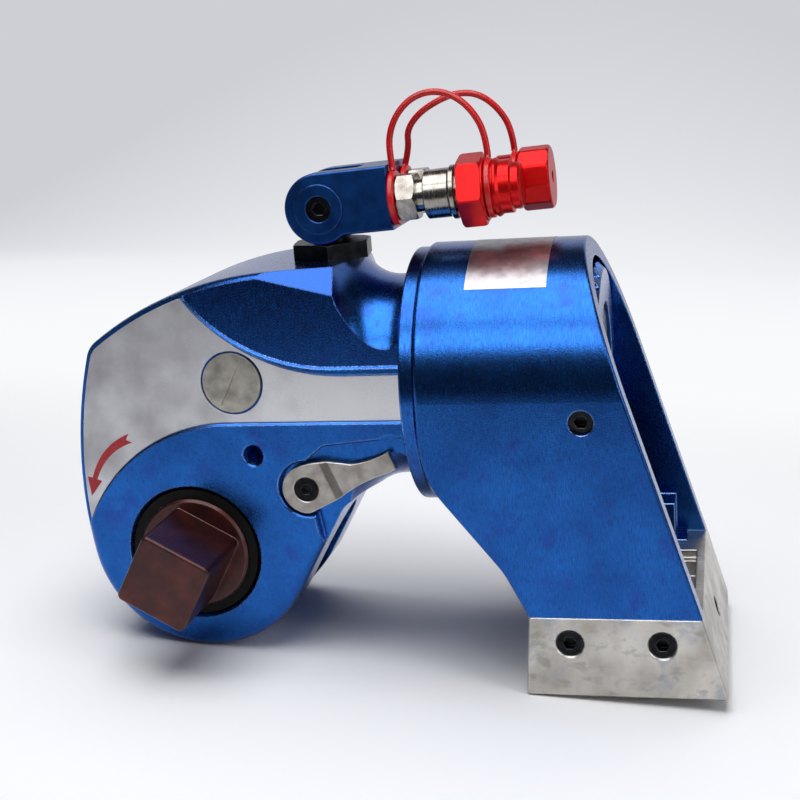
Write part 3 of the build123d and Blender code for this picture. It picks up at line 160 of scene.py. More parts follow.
def red_rubber():
    """Moulded nitrile rubber: saturated, with a soft sheen and the mould's faint orange peel."""
    material, tree, where = new_material("moulded_red_rubber")
    tint = node(tree, "ShaderNodeMix",
                {0: patches(tree, where, 8.0), 6: linear("#b50509"), 7: linear("#d40d12")},
                data_type="RGBA").outputs[2]
    peel = patches(tree, where, 1.2)
    bump = node(tree, "ShaderNodeBump", {"Height": peel, "Strength": 0.12, "Distance": 0.0003})
    shader = node(tree, "ShaderNodeBsdfPrincipled",
                  {"Base Color": tint, "Roughness": 0.3, "IOR": 1.52, "Normal": bump.outputs[0]})
    node(tree, "ShaderNodeOutputMaterial", {"Surface": shader.outputs[0]})
    return material


RUBBER = red_rubber()
TETHER_D = 0.0033
SWIVEL_AT = np.array([0.0755, 0.0, 0.1727])
SWIVEL_TILT = np.radians(3.0)
ALONG_PORT = np.array([np.cos(SWIVEL_TILT), 0.0, np.sin(SWIVEL_TILT)])
ABOVE_PORT = np.array([-np.sin(SWIVEL_TILT), 0.0, np.cos(SWIVEL_TILT)])
PORT_Y = {"near": -0.014, "far": 0.014}
TETHER_ROUTE = {
    "near": [(0.0390, 0.0, 0.01485), (0.0381, 0.001, 0.0245), (0.0394, 0.002, 0.0335),
             (0.0440, 0.003, 0.0420), (0.0520, 0.004, 0.0486), (0.0625, 0.004, 0.0506),
             (0.0730, 0.003, 0.0472), (0.0815, 0.002, 0.0390), (0.0869, 0.001, 0.0270),
             (0.0870, 0.0, 0.0157)],
    "far": [(0.0390, 0.0, 0.01485), (0.0423, -0.001, 0.0230), (0.0426, -0.002, 0.0320),
            (0.0495, -0.003, 0.0395), (0.0590, -0.0035, 0.0444), (0.0700, -0.0040, 0.0476),
            (0.0810, -0.0035, 0.0462), (0.0900, -0.0025, 0.0386), (0.0960, -0.001, 0.0270),
            (0.0961, 0.0, 0.0157)],
}


def in_port_frame(places, side):
    """Points given along the port, across it and above the swivel pin, in the tool's frame."""
    along, across, above = np.asarray(places, float).T
    return (SWIVEL_AT + along[:, None] * ALONG_PORT + above[:, None] * ABOVE_PORT
            + (PORT_Y[side] + across)[:, None] * np.array([0.0, 1.0, 0.0]))


def smooth_line(name, route):
    """Points along the NURBS spline of order 3 that has the route's points as its control points."""
    curve = bpy.data.curves.new(name, "CURVE")
    curve.dimensions = "3D"
    spline = curve.splines.new("NURBS")
    spline.points.add(len(route) - 1)
    spline.points.foreach_set("co", np.column_stack([route, np.ones(len(route))]).ravel())
    spline.order_u = 3
    spline.use_endpoint_u = True
    spline.resolution_u = 12
    holder = bpy.data.objects.new(name, curve)
    bpy.context.collection.objects.link(holder)
    bpy.context.view_layer.update()
    line = bpy.data.meshes.new_from_object(holder.evaluated_get(bpy.context.evaluated_depsgraph_get()))
    points = np.array([v.co for v in line.vertices])
    bpy.data.objects.remove(holder)
    bpy.data.curves.remove(curve)
    return points


def tube_along(line, radius, sides=20):
    """A round tube: each ring is centre + r * (cos a * across + sin a * up), square to the line.

    across is the tool's Y made square to the line, and up is the line crossed with it.
    """
    run = np.gradient(line, axis=0)
    run /= np.linalg.norm(run, axis=1)[:, None]
    across = np.array([0.0, 1.0, 0.0]) - run * run[:, 1:2]
    across /= np.linalg.norm(across, axis=1)[:, None]
    up = np.cross(run, across)
    turn = np.linspace(0, 2 * np.pi, sides, endpoint=False)[None, :, None]
    rings = line[:, None, :] + radius * (np.cos(turn) * across[:, None, :] + np.sin(turn) * up[:, None, :])
    ends = [list(range(sides)), list(range((len(line) - 1) * sides, len(line) * sides))[::-1]]
    return rings, [q[::-1] for q in grid_faces(len(line), sides, wrap_columns=True).tolist()] + ends


for side in ("near", "far"):
    route = in_port_frame(TETHER_ROUTE[side], side)
    line = smooth_line(f"tether_{side}_line", route)
    rings, faces = tube_along(line, TETHER_D / 2)
    body = "yoke" if side == "near" else None
    tether = mesh_piece(f"tether_cord_{side}", rings, faces, RUBBER, body, "red_rubber")
    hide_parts(f"tether_{side}")
    if side == "far":
        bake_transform(tether)


def dress(names, material):
    """Gives CAD nodes their material."""
    for name in names.split():
        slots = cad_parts[name].data.materials
        slots.clear()
        slots.append(material)


dress("neck_ring_near neck_ring_far cap_ring_near cap_ring_far", RUBBER)


# Dust caps: turned from aluminium bar, the skirt milled to flats, and anodised in a bright red.
# The dye is dense, so they read as a glossy red, and a lighter red painted along their corners is a painted
# highlight.
RELIEF = 0.0002


def red_anodised():
    """Anodised aluminium, dyed red and sealed: a red metal sheen under a clear glossy skin."""
    material, tree, where = new_material("red_anodised_aluminium")
    rounded, edge = rounded_edges(tree, 0.5)
    tint = node(tree, "ShaderNodeMix",
                {0: patches(tree, where, 10.0), 6: linear("#bc0206"), 7: linear("#d80509")},
                data_type="RGBA").outputs[2]
    # Painted highlight: a lighter red laid along every edge.
    lit = node(tree, "ShaderNodeMix", {0: edge, 6: tint, 7: linear("#f0302a")}, data_type="RGBA").outputs[2]
    fine = patches(tree, where, 0.6)
    rough = node(tree, "ShaderNodeMapRange", {0: fine, 3: 0.32, 4: 0.44}).outputs[0]
    bump = node(tree, "ShaderNodeBump",
                {"Height": fine, "Strength": 0.05, "Distance": RELIEF, "Normal": rounded})
    shader = node(tree, "ShaderNodeBsdfPrincipled",
                  {"Base Color": lit, "Metallic": 0.8, "Roughness": rough, "Normal": bump.outputs[0],
                   "Coat Weight": 0.1, "Coat Roughness": 0.1})
    node(tree, "ShaderNodeOutputMaterial", {"Surface": shader.outputs[0]})
    return material


dress("cap_near cap_far", red_anodised())


# Head and cylinder: forged aluminium alloy, machined all over and anodised blue.  The dye leaves
# the metal's own shine, so flats read deep blue and rounds catch the light.  A paler blue painted
# along the edges in patches is painted highlight with some wear.
ALONG_THE_BRUSH = (1.0, 1.0, 0.4)
ROUND_THE_BARREL = (1.0, 0.12, 0.12)


def blue_anodised(name, grain_mm, stretch, streak):
    """Anodised aluminium alloy: blue metal under a clear sealed skin.

    It shows clouds 25 mm across, violet stains where the dye is thin, specks of the etched grain,
    and tool marks grain_mm apart, drawn out by stretch and as deep as streak says.  Grit finer than
    half a millimetre can't show here, so the marks are drawn coarser than the cutter's own.
    Returns the material, its tree, its coordinates and the node that mixes its colour.
    """
    material, tree, where = new_material(name)
    rounded, edge = rounded_edges(tree, 1.1)
    cloud = node(tree, "ShaderNodeMix",
                 {0: patches(tree, where, 25.0), 6: linear("#0c4e9c"), 7: linear("#1560b6")},
                 data_type="RGBA").outputs[2]
    stain = patches(tree, where, 14.0, -1.6, 0.7, detail=6.0)
    tint = node(tree, "ShaderNodeMix",
                {0: stain, 6: cloud, 7: linear("#1c459c")}, data_type="RGBA", clamp_factor=True).outputs[2]
    marks = patches(tree, where, grain_mm, detail=2.0, stretch=stretch)
    specks = patches(tree, where, 0.7, detail=1.0)
    # Painted highlight with some wear: a pale blue laid along the edges in patches.
    wear_and_painted_edge_highlight = node(tree, "ShaderNodeMath",
                {0: edge, 1: patches(tree, where, 3.0, 0.45, 1.1)},
                operation="MULTIPLY", use_clamp=True).outputs[0]
    shade = node(tree, "ShaderNodeMapRange", {0: marks, 3: 0.0, 4: 0.5 * streak}).outputs[0]
    lined = node(tree, "ShaderNodeMix",
                 {0: shade, 6: tint, 7: linear("#062f6c")}, data_type="RGBA").outputs[2]
    lit = node(tree, "ShaderNodeMix", {0: wear_and_painted_edge_highlight, 6: lined, 7: linear("#94bdf8")}, data_type="RGBA")
    both = node(tree, "ShaderNodeMath", {0: marks, 1: streak, 2: specks}, operation="MULTIPLY_ADD").outputs[0]
    rough = node(tree, "ShaderNodeMapRange", {0: both, 2: 1.0 + streak, 3: 0.13, 4: 0.32}).outputs[0]
    bump = node(tree, "ShaderNodeBump",
                {"Height": both, "Strength": 0.1, "Distance": RELIEF, "Normal": rounded})
    shader = node(tree, "ShaderNodeBsdfPrincipled",
                  {"Base Color": lit.outputs[2], "Metallic": 1.0, "Roughness": rough,
                   "Normal": bump.outputs[0], "Coat Weight": 0.3, "Coat Roughness": 0.25})
    node(tree, "ShaderNodeOutputMaterial", {"Surface": shader.outputs[0]})
    return material, tree, where, lit


HEAD_BLUE, head_tree, head_where, head_mix = blue_anodised("blue_anodised_head", 1.6, ALONG_THE_BRUSH, 0.4)
TURNED_BLUE = blue_anodised("blue_anodised_turned", 0.5, ROUND_THE_BARREL, 1.2)[0]

# The lens-shaped facets lie 1.2 mm under the side faces and were brushed.  A darker blue on them,
# broken by their scratches, is painted shade for the duller reflection they catch.  The flats
# milled across the top corners take a duller blue, painted shade that holds down their glare.
# The facets are found by how far they lie from the middle plane, the flats by the way they face.
FACET_Y = 0.0468
FACET_Y_MARGIN = 0.0005
FACET_LOWEST_Z = 0.085
CORNER_NORMAL = np.array([96.0, 434.0, 372.0]) / np.linalg.norm([96.0, 434.0, 372.0])
SAME_WAY_COSINE = 0.999
spread = node(head_tree, "ShaderNodeVectorMath", {0: head_where}, operation="ABSOLUTE").outputs[0]
aside = node(head_tree, "ShaderNodeSeparateXYZ", {0: spread}).outputs
sunk = node(head_tree, "ShaderNodeMath",
            {0: aside[1], 1: FACET_Y, 2: FACET_Y_MARGIN}, operation="COMPARE").outputs[0]
raised = node(head_tree, "ShaderNodeMath",
              {0: aside[2], 1: FACET_LOWEST_Z}, operation="GREATER_THAN").outputs[0]
lens = node(head_tree, "ShaderNodeMath", {0: sunk, 1: raised}, operation="MULTIPLY").outputs[0]
scratches = patches(head_tree, head_where, 0.8, 1.0, 0.1, stretch=ALONG_THE_BRUSH)
lens_shade_share = node(head_tree, "ShaderNodeMath", {0: lens, 1: scratches}, operation="MULTIPLY").outputs[0]
# Painted shade: the lens facets get a darker blue.
dark = node(head_tree, "ShaderNodeMix",
            {0: lens_shade_share, 6: head_mix.outputs[2], 7: linear("#0d3f8c")}, data_type="RGBA").outputs[2]
outward = node(head_tree, "ShaderNodeNewGeometry").outputs["True Normal"]
facing = node(head_tree, "ShaderNodeVectorMath", {0: outward}, operation="ABSOLUTE").outputs[0]
toward = node(head_tree, "ShaderNodeVectorMath",
              {0: facing, 1: tuple(CORNER_NORMAL)}, operation="DOT_PRODUCT").outputs["Value"]
flat = node(head_tree, "ShaderNodeMath", {0: toward, 1: SAME_WAY_COSINE}, operation="GREATER_THAN").outputs[0]
# Painted shade: the corner flats, found by the way they face, take a duller blue.
pale = node(head_tree, "ShaderNodeMix", {0: flat, 6: dark, 7: linear("#1b4690")}, data_type="RGBA").outputs[2]
head_tree.links.new(pale, head_tree.nodes["Principled BSDF"].inputs["Base Color"])
dress("housing", HEAD_BLUE)
dress("cylinder", TURNED_BLUE)


# Threaded hole for a handle: drilled and tapped into the near side face before anodising, so its
# thread is blue too.  The crests show as rings inside a dark hole.
NEARLY_UPRIGHT = 0.9


def tapped_liner(mouth, inward, radius, depth, pitch, long, per_pitch=8, sides=48):
    """The wall of a tapped hole: r = R - depth * (1 - |2 * frac(l / pitch - a / 2 pi) - 1|).

    a runs round the hole's axis and l along it from the mouth, for the length long, in per_pitch
    slices to each turn of the thread.
    """
    axis = np.array(inward) / np.linalg.norm(inward)
    first = np.cross(axis, (0.0, 0.0, 1.0) if abs(axis[2]) < NEARLY_UPRIGHT else (0.0, 1.0, 0.0))
    first /= np.linalg.norm(first)
    second = np.cross(axis, first)
    along, turn = np.meshgrid(np.arange(0.0, long, pitch / per_pitch),
                              np.linspace(0, 2 * np.pi, sides, endpoint=False), indexing="ij")
    r = radius - depth * (1 - np.abs(2 * np.mod(along / pitch - turn / (2 * np.pi), 1.0) - 1))
    points = (np.array(mouth) + along[..., None] * axis + (r * np.cos(turn))[..., None] * first
              + (r * np.sin(turn))[..., None] * second)
    return points, grid_faces(*along.shape, wrap_columns=True)


HANDLE_HOLE = (0.0376, -0.0470, 0.0526)
mesh_piece("handle_hole_thread", *tapped_liner(HANDLE_HOLE, (0, 1, 0),
                                               radius=0.00505, depth=0.0006, pitch=0.0015, long=0.0155),
           HEAD_BLUE, "head", "blue_anodised")


# Side plates: bare steel sheet let into the head over the pinned joint, tumbled to a silver satin
# and stained by handling.  The near one carries a painted arrow that shows which way it turns.
def satin_steel():
    """Tumbled stainless sheet: bright satin with soft clouds and a scatter of fine dark dints."""
    material, tree, where = new_material("satin_plate_steel")
    rounded, edge = rounded_edges(tree, 0.5)
    along = node(tree, "ShaderNodeSeparateXYZ", {0: where}).outputs[0]
    # Painted sheen: the plate grows brighter towards its +x end.
    painted_sheen_along_x = node(tree, "ShaderNodeMapRange", {0: along, 1: -0.02, 2: 0.09}).outputs[0]
    cloud = node(tree, "ShaderNodeMath",
                 {0: patches(tree, where, 22.0, 0.0, 0.6, detail=5.0), 1: painted_sheen_along_x},
                 operation="ADD", use_clamp=True).outputs[0]
    tint = node(tree, "ShaderNodeMix",
                {0: cloud, 6: linear("#b0afb4"), 7: linear("#f0f0f4")}, data_type="RGBA").outputs[2]
    dints = patches(tree, where, 0.5, -0.9, 0.8, detail=6.0)
    thin = node(tree, "ShaderNodeMath",
                {0: dints, 1: patches(tree, where, 24.0, 0.6, 0.0)},
                operation="MULTIPLY", use_clamp=True).outputs[0]
    marked = node(tree, "ShaderNodeMix",
                  {0: thin, 6: tint, 7: linear("#85858a")}, data_type="RGBA").outputs[2]
    # Painted highlight: a near-white laid along every edge.
    painted_rim_highlight = node(tree, "ShaderNodeMix",
                  {0: edge, 6: marked, 7: linear("#fbfbfd")}, data_type="RGBA").outputs[2]
    rough = node(tree, "ShaderNodeMapRange", {0: cloud, 3: 0.46, 4: 0.36}).outputs[0]
    bump = node(tree, "ShaderNodeBump",
                {"Height": dints, "Strength": 0.06, "Distance": RELIEF, "Normal": rounded})
    shader = node(tree, "ShaderNodeBsdfPrincipled",
                  {"Base Color": painted_rim_highlight, "Metallic": 1.0, "Roughness": rough, "Normal": bump.outputs[0]})
    node(tree, "ShaderNodeOutputMaterial", {"Surface": shader.outputs[0]})
    return material


PLATE_STEEL = satin_steel()
dress("side_plate_near side_plate_far", PLATE_STEEL)

ARROW_FACE_Y = -0.04603
ARROW_TAIL, ARROW_BEND, ARROW_NECK = np.array([[-29.3, 62.1], [-45.5, 57.0], [-52.3, 40.2]]) / 1000
ARROW_TIP = np.array([-55.4, 30.5]) / 1000
ARROW_HALF = 0.0023
ARROW_HEAD_HALF = 0.0042
ARROW_NOTCH = 0.0028
ARROW_STEPS = 24


def turn_arrow():
    """A bent arrow: a ribbon along (1-t)^2 A + 2t(1-t) B + t^2 C, notched at its tail, and a head.

    A is the tail, B the bend and C the neck.  The ribbon's half width falls from 1.1 to 0.6 of
    ARROW_HALF, and its middle line starts ARROW_NOTCH inside the tail, which falls as (1-t)^6.
    """
    t = np.linspace(0, 1, ARROW_STEPS)[:, None]
    centre = (1 - t) ** 2 * ARROW_TAIL + 2 * t * (1 - t) * ARROW_BEND + t ** 2 * ARROW_NECK
    run = np.gradient(centre, axis=0)
    run /= np.linalg.norm(run, axis=1)[:, None]
    half = ARROW_HALF * (1.1 - 0.5 * t)
    across = np.column_stack([-run[:, 1], run[:, 0]])
    tip_run = (ARROW_TIP - ARROW_NECK) / np.linalg.norm(ARROW_TIP - ARROW_NECK)
    tip_across = np.array([-tip_run[1], tip_run[0]])
    middle = centre + np.linspace(1, 0, ARROW_STEPS)[:, None] ** 6 * run * ARROW_NOTCH
    ribbon = np.stack([centre - half * across, middle, centre + half * across], axis=1)
    barbs = [ARROW_NECK - side * ARROW_HEAD_HALF * tip_across for side in (1, 0, -1)]
    flat = np.concatenate([ribbon, [barbs, [ARROW_TIP] * 3]])
    return np.insert(flat, 1, ARROW_FACE_Y, axis=-1)


def arrow_paint():
    """Screen-printed red enamel: an even matt film with a slightly grainy edge of pigment."""
    material, tree, where = new_material("red_printing_enamel")
    tint = node(tree, "ShaderNodeMix",
                {0: patches(tree, where, 1.5), 6: linear("#a01620"), 7: linear("#b82430")},
                data_type="RGBA").outputs[2]
    bump = node(tree, "ShaderNodeBump",
                {"Height": patches(tree, where, 0.6), "Strength": 0.1, "Distance": RELIEF})
    shader = node(tree, "ShaderNodeBsdfPrincipled",
                  {"Base Color": tint, "Roughness": 0.4, "IOR": 1.5, "Normal": bump.outputs[0]})
    node(tree, "ShaderNodeOutputMaterial", {"Surface": shader.outputs[0]})
    return material


ARROW_FILM = 0.00004
CRISP_ANGLE = 0.6
arrow = mesh_piece("turn_arrow", turn_arrow(), grid_faces(ARROW_STEPS + 2, 3), arrow_paint(), "head",
                   "red_rubber")
film = arrow.modifiers.new("film", "SOLIDIFY")
film.thickness = ARROW_FILM
film.offset = 0.0
arrow.modifiers.new("crisp_rim", "EDGE_SPLIT").split_angle = CRISP_ANGLE


# Pin plugs: turned steel discs screwed in over the lever pin, with a slot for the screwdriver.
# Facing on the lathe leaves a warm grey with faint rings round the middle.
PLUG_AT = (0.0295, 0.0, 0.0905)


def turned_steel():
    """Turned and faced steel: warm grey with rings round the plug's middle.

    The wave's scale of 320 puts the rings 1 mm apart, coarser than the tool's own so that they show.
    """
    material, tree, where = new_material("turned_plug_steel")
    rounded, edge = rounded_edges(tree, 0.3)
    centred = node(tree, "ShaderNodeMapping", {"Vector": where, "Location": tuple(-c for c in PLUG_AT)})
    ring = node(tree, "ShaderNodeTexWave",
                {"Vector": centred.outputs[0], "Scale": 320.0, "Distortion": 1.5, "Detail": 2.0},
                wave_type="RINGS", rings_direction="Y").outputs["Fac"]
    cloud = patches(tree, where, 7.0, detail=5.0)
    tint = node(tree, "ShaderNodeMix",
                {0: cloud, 6: linear("#97938b"), 7: linear("#c2beb4")}, data_type="RGBA").outputs[2]
    # Painted highlight: a paler grey laid along every edge.
    lit = node(tree, "ShaderNodeMix", {0: edge, 6: tint, 7: linear("#d9d6d0")}, data_type="RGBA").outputs[2]
    rough = node(tree, "ShaderNodeMapRange", {0: ring, 3: 0.3, 4: 0.4}).outputs[0]
    bump = node(tree, "ShaderNodeBump",
                {"Height": ring, "Strength": 0.03, "Distance": RELIEF, "Normal": rounded})
    shader = node(tree, "ShaderNodeBsdfPrincipled",
                  {"Base Color": lit, "Metallic": 1.0, "Roughness": rough, "Normal": bump.outputs[0]})
    node(tree, "ShaderNodeOutputMaterial", {"Surface": shader.outputs[0]})
    return material


dress("pin_plug_near pin_plug_far", turned_steel())


# Square drive: alloy steel, milled square, ground and chemically browned, then oiled.  The oil
# gives it a gloss, and a pinker brown painted along its corners is a painted highlight.
def browned_steel():
    """Browned alloy steel under an oil film: dark brown with rust tints and painted pink-brown edges."""
    material, tree, where = new_material("browned_drive_steel")
    rounded, edge = rounded_edges(tree, 0.9)
    tint = node(tree, "ShaderNodeMix",
                {0: patches(tree, where, 9.0, detail=5.0), 6: linear("#361717"), 7: linear("#451c1b")},
                data_type="RGBA").outputs[2]
    rust = node(tree, "ShaderNodeMix",
                {0: patches(tree, where, 12.0, -0.4, 0.6), 6: tint, 7: linear("#5c281d")},
                data_type="RGBA", clamp_factor=True).outputs[2]
    # Painted highlight: a pink-brown laid along every edge.
    lit = node(tree, "ShaderNodeMix", {0: edge, 6: rust, 7: linear("#86605e")}, data_type="RGBA").outputs[2]
    fine = patches(tree, where, 0.9, detail=4.0)
    rough = node(tree, "ShaderNodeMapRange", {0: fine, 3: 0.3, 4: 0.5}).outputs[0]
    bump = node(tree, "ShaderNodeBump",
                {"Height": fine, "Strength": 0.12, "Distance": RELIEF, "Normal": rounded})
    shader = node(tree, "ShaderNodeBsdfPrincipled",
                  {"Base Color": lit, "Metallic": 0.7, "Roughness": rough, "Normal": bump.outputs[0],
                   "Coat Weight": 0.3, "Coat Roughness": 0.18})
    node(tree, "ShaderNodeOutputMaterial", {"Surface": shader.outputs[0]})
    return material


dress("square_drive drive_retainer", browned_steel())


# Release lever: a steel stamping, ground on its edges and tumbled smooth.  It is bare and warm
# grey, and turns on a black socket screw.
def tumbled_steel():
    """Tumbled bare steel: soft bright grey with a warm cast, smooth rounded edges, hairline scuffs."""
    material, tree, where = new_material("tumbled_lever_steel")
    rounded, edge = rounded_edges(tree, 1.2)
    cloud = patches(tree, where, 6.0, detail=5.0)
    tint = node(tree, "ShaderNodeMix",
                {0: cloud, 6: linear("#928c86"), 7: linear("#b4afa9")}, data_type="RGBA").outputs[2]
    # Painted highlight: a pale grey laid along every edge.
    lit = node(tree, "ShaderNodeMix", {0: edge, 6: tint, 7: linear("#e4e3e2")}, data_type="RGBA").outputs[2]
    scuffs = patches(tree, where, 0.8, detail=2.0, stretch=(0.12, 1.0, 1.0))
    rough = node(tree, "ShaderNodeMapRange", {0: scuffs, 3: 0.28, 4: 0.42}).outputs[0]
    bump = node(tree, "ShaderNodeBump",
                {"Height": scuffs, "Strength": 0.04, "Distance": RELIEF, "Normal": rounded})
    shader = node(tree, "ShaderNodeBsdfPrincipled",
                  {"Base Color": lit, "Metallic": 1.0, "Roughness": rough, "Normal": bump.outputs[0]})
    node(tree, "ShaderNodeOutputMaterial", {"Surface": shader.outputs[0]})
    return material


dress("release_lever", tumbled_steel())


# Screws, nuts and the swivel's hexagon base: alloy steel with a black oxide finish, oiled.  The
# screws have hexagon sockets, and a grey painted along their corners is a painted highlight.
def black_oxide():
    """Black oxide on steel: nearly black, with a low oily sheen and a painted grey highlight on its edges."""
    material, tree, where = new_material("black_oxide_steel")
    rounded, edge = rounded_edges(tree, 0.4)
    tint = node(tree, "ShaderNodeMix",
                {0: patches(tree, where, 4.0, detail=5.0), 6: linear("#0d0d0f"), 7: linear("#232428")},
                data_type="RGBA").outputs[2]
    # Painted highlight: a grey laid along every edge.
    lit = node(tree, "ShaderNodeMix", {0: edge, 6: tint, 7: linear("#6a6d74")}, data_type="RGBA").outputs[2]
    fine = patches(tree, where, 0.7, detail=4.0)
    rough = node(tree, "ShaderNodeMapRange", {0: fine, 3: 0.32, 4: 0.5}).outputs[0]
    bump = node(tree, "ShaderNodeBump",
                {"Height": fine, "Strength": 0.1, "Distance": RELIEF, "Normal": rounded})
    shader = node(tree, "ShaderNodeBsdfPrincipled",
                  {"Base Color": lit, "Metallic": 1.0, "Roughness": rough, "Normal": bump.outputs[0],
                   "Coat Weight": 0.1, "Coat Roughness": 0.25})
    node(tree, "ShaderNodeOutputMaterial", {"Surface": shader.outputs[0]})
    return material


BLACK_OXIDE = black_oxide()
dress("release_lever_screw arm_set_screw swivel_base swivel_post swivel_pin piston_nut foot_screws",
      BLACK_OXIDE)


# Reaction arm: one forging with a splined sleeve that slides over the barrel, turned round its
# bore and milled on its flanks, then anodised with the head.
ROUND_THE_SLEEVE = (1.0, 0.14, 0.14)
dress("reaction_arm", blue_anodised("blue_anodised_arm", 0.5, ROUND_THE_SLEEVE, 1.0)[0])


# Foil panel: a plain self-adhesive field of brushed aluminium foil, pressed on to the sleeve's
# top.  Its brushing runs round the sleeve, and a clear film covers it.
SLEEVE_R = 0.0674
SLEEVE_AXIS_Z = 0.083
FOIL_ALONG = (0.1513, 0.1907)
FOIL_ROUND = np.radians([48.5, 101.0])
FOIL_LIFT = 0.00008
FOIL_THICK = 0.00012


def foil_sheet():
    """A patch of the sleeve's skin: x along the sleeve, y = -r cos a, z = axis + r sin a.

    r is the sleeve's radius and FOIL_LIFT more, and a runs up from the near side, 61.8 mm round.
    """
    x, a = np.meshgrid(np.linspace(*FOIL_ALONG, 6), np.linspace(*FOIL_ROUND, 40), indexing="ij")
    r = SLEEVE_R + FOIL_LIFT
    return np.stack([x, -r * np.cos(a), SLEEVE_AXIS_Z + r * np.sin(a)], axis=-1), grid_faces(*x.shape)


def brushed_foil():
    """Brushed aluminium foil under a clear film: silver, streaked round the sleeve, grainy."""
    material, tree, where = new_material("brushed_aluminium_foil")
    streaks = patches(tree, where, 0.5, detail=2.0, stretch=(1.0, 0.12, 0.12))
    tint = node(tree, "ShaderNodeMix",
                {0: patches(tree, where, 5.0, detail=5.0), 6: linear("#98959a"), 7: linear("#b8b6ba")},
                data_type="RGBA").outputs[2]
    rough = node(tree, "ShaderNodeMapRange", {0: streaks, 3: 0.3, 4: 0.38}).outputs[0]
    bump = node(tree, "ShaderNodeBump", {"Height": streaks, "Strength": 0.03, "Distance": RELIEF})
    shader = node(tree, "ShaderNodeBsdfPrincipled",
                  {"Base Color": tint, "Metallic": 1.0, "Roughness": rough, "Normal": bump.outputs[0]})
    node(tree, "ShaderNodeOutputMaterial", {"Surface": shader.outputs[0]})
    return material


foil = mesh_piece("foil_panel", *foil_sheet(), brushed_foil(), "arm", "brushed_steel")
sheet_depth = foil.modifiers.new("thickness", "SOLIDIFY")
sheet_depth.thickness = FOIL_THICK
sheet_depth.offset = 0.0
foil.modifiers.new("crisp_rim", "EDGE_SPLIT").split_angle = CRISP_ANGLE


# Reaction foot: cast alloy, milled on its outer faces and left bare.  It is screwed over the
# arm's two legs with four socket screws.  The thread in its slanted end is dressed in black oxide,
# painted shade for the dark inside of the hole.
def bare_foot_alloy():
    """Milled bare casting alloy: warm grey with bluish stains, dark scuffs and a painted highlight on its
    edges.
    """
    material, tree, where = new_material("bare_foot_alloy")
    rounded, edge = rounded_edges(tree, 1.0)
    cloud = patches(tree, where, 18.0, detail=6.0)
    tint = node(tree, "ShaderNodeMix",
                {0: cloud, 6: linear("#a9a49c"), 7: linear("#d5d1ca")}, data_type="RGBA").outputs[2]
    stained = node(tree, "ShaderNodeMix",
                   {0: patches(tree, where, 9.0, -1.0, 0.8, detail=6.0), 6: tint, 7: linear("#999da6")},
                   data_type="RGBA", clamp_factor=True).outputs[2]
    scuffs = patches(tree, where, 5.0, -0.9, 0.6, detail=8.0, stretch=(0.6, 1.0, 1.0))
    scuffed = node(tree, "ShaderNodeMix",
                   {0: scuffs, 6: stained, 7: linear("#8f8b86")},
                   data_type="RGBA", clamp_factor=True).outputs[2]
    # Painted highlight: a near-white laid along every edge.
    lit = node(tree, "ShaderNodeMix",
               {0: edge, 6: scuffed, 7: linear("#edebe8")}, data_type="RGBA").outputs[2]
    rough = node(tree, "ShaderNodeMapRange", {0: cloud, 3: 0.42, 4: 0.3}).outputs[0]
    bump = node(tree, "ShaderNodeBump",
                {"Height": patches(tree, where, 0.9, detail=4.0), "Strength": 0.06, "Distance": RELIEF,
                 "Normal": rounded})
    shader = node(tree, "ShaderNodeBsdfPrincipled",
                  {"Base Color": lit, "Metallic": 1.0, "Roughness": rough, "Normal": bump.outputs[0]})
    node(tree, "ShaderNodeOutputMaterial", {"Surface": shader.outputs[0]})
    return material


dress("reaction_foot", bare_foot_alloy())
FOOT_END_NORMAL = np.array([41.0, 0.0, 11.7]) / np.hypot(41.0, 11.7)
FOOT_END_MIDDLE = np.array([0.26585, 0.0, -0.0452])
FOOT_THREAD_SUNK = 0.0006
foot_thread_mouth = FOOT_END_MIDDLE - FOOT_THREAD_SUNK * FOOT_END_NORMAL
# Painted shade: the hole's thread is black to stand for the shadow inside it.
mesh_piece("foot_hole_thread", *tapped_liner(foot_thread_mouth, -FOOT_END_NORMAL,
                                             radius=0.00585, depth=0.0006, pitch=0.00175, long=0.0125),
           BLACK_OXIDE, "arm", "black_oxide_steel")


# Hose swivel: a navy anodised fork on a black pin, with a round boss on each side of it.  It
# carries both couplers and tilts on the turning post.
def navy_anodised():
    """Anodised aluminium dyed navy: dark blue metal with a satin gloss and a broken painted edge highlight.
    """
    material, tree, where = new_material("navy_anodised_aluminium")
    rounded, edge = rounded_edges(tree, 0.8)
    tint = node(tree, "ShaderNodeMix",
                {0: patches(tree, where, 9.0, detail=4.0), 6: linear("#0d3570"), 7: linear("#174a90")},
                data_type="RGBA").outputs[2]
    # Painted highlight: a pale blue laid along the edges in broken runs.
    painted_edge_glint = node(tree, "ShaderNodeMath",
                 {0: edge, 1: patches(tree, where, 2.0, 0.2, 1.0)},
                 operation="MULTIPLY", use_clamp=True).outputs[0]
    lit = node(tree, "ShaderNodeMix", {0: painted_edge_glint, 6: tint, 7: linear("#6d93c4")}, data_type="RGBA").outputs[2]
    fine = patches(tree, where, 0.6, detail=2.0)
    rough = node(tree, "ShaderNodeMapRange", {0: fine, 3: 0.34, 4: 0.5}).outputs[0]
    bump = node(tree, "ShaderNodeBump",
                {"Height": fine, "Strength": 0.06, "Distance": RELIEF, "Normal": rounded})
    shader = node(tree, "ShaderNodeBsdfPrincipled",
                  {"Base Color": lit, "Metallic": 1.0, "Roughness": rough, "Normal": bump.outputs[0],
                   "Coat Weight": 0.4, "Coat Roughness": 0.2})
    node(tree, "ShaderNodeOutputMaterial", {"Surface": shader.outputs[0]})
    return material


dress("swivel_yoke swivel_washers", navy_anodised())


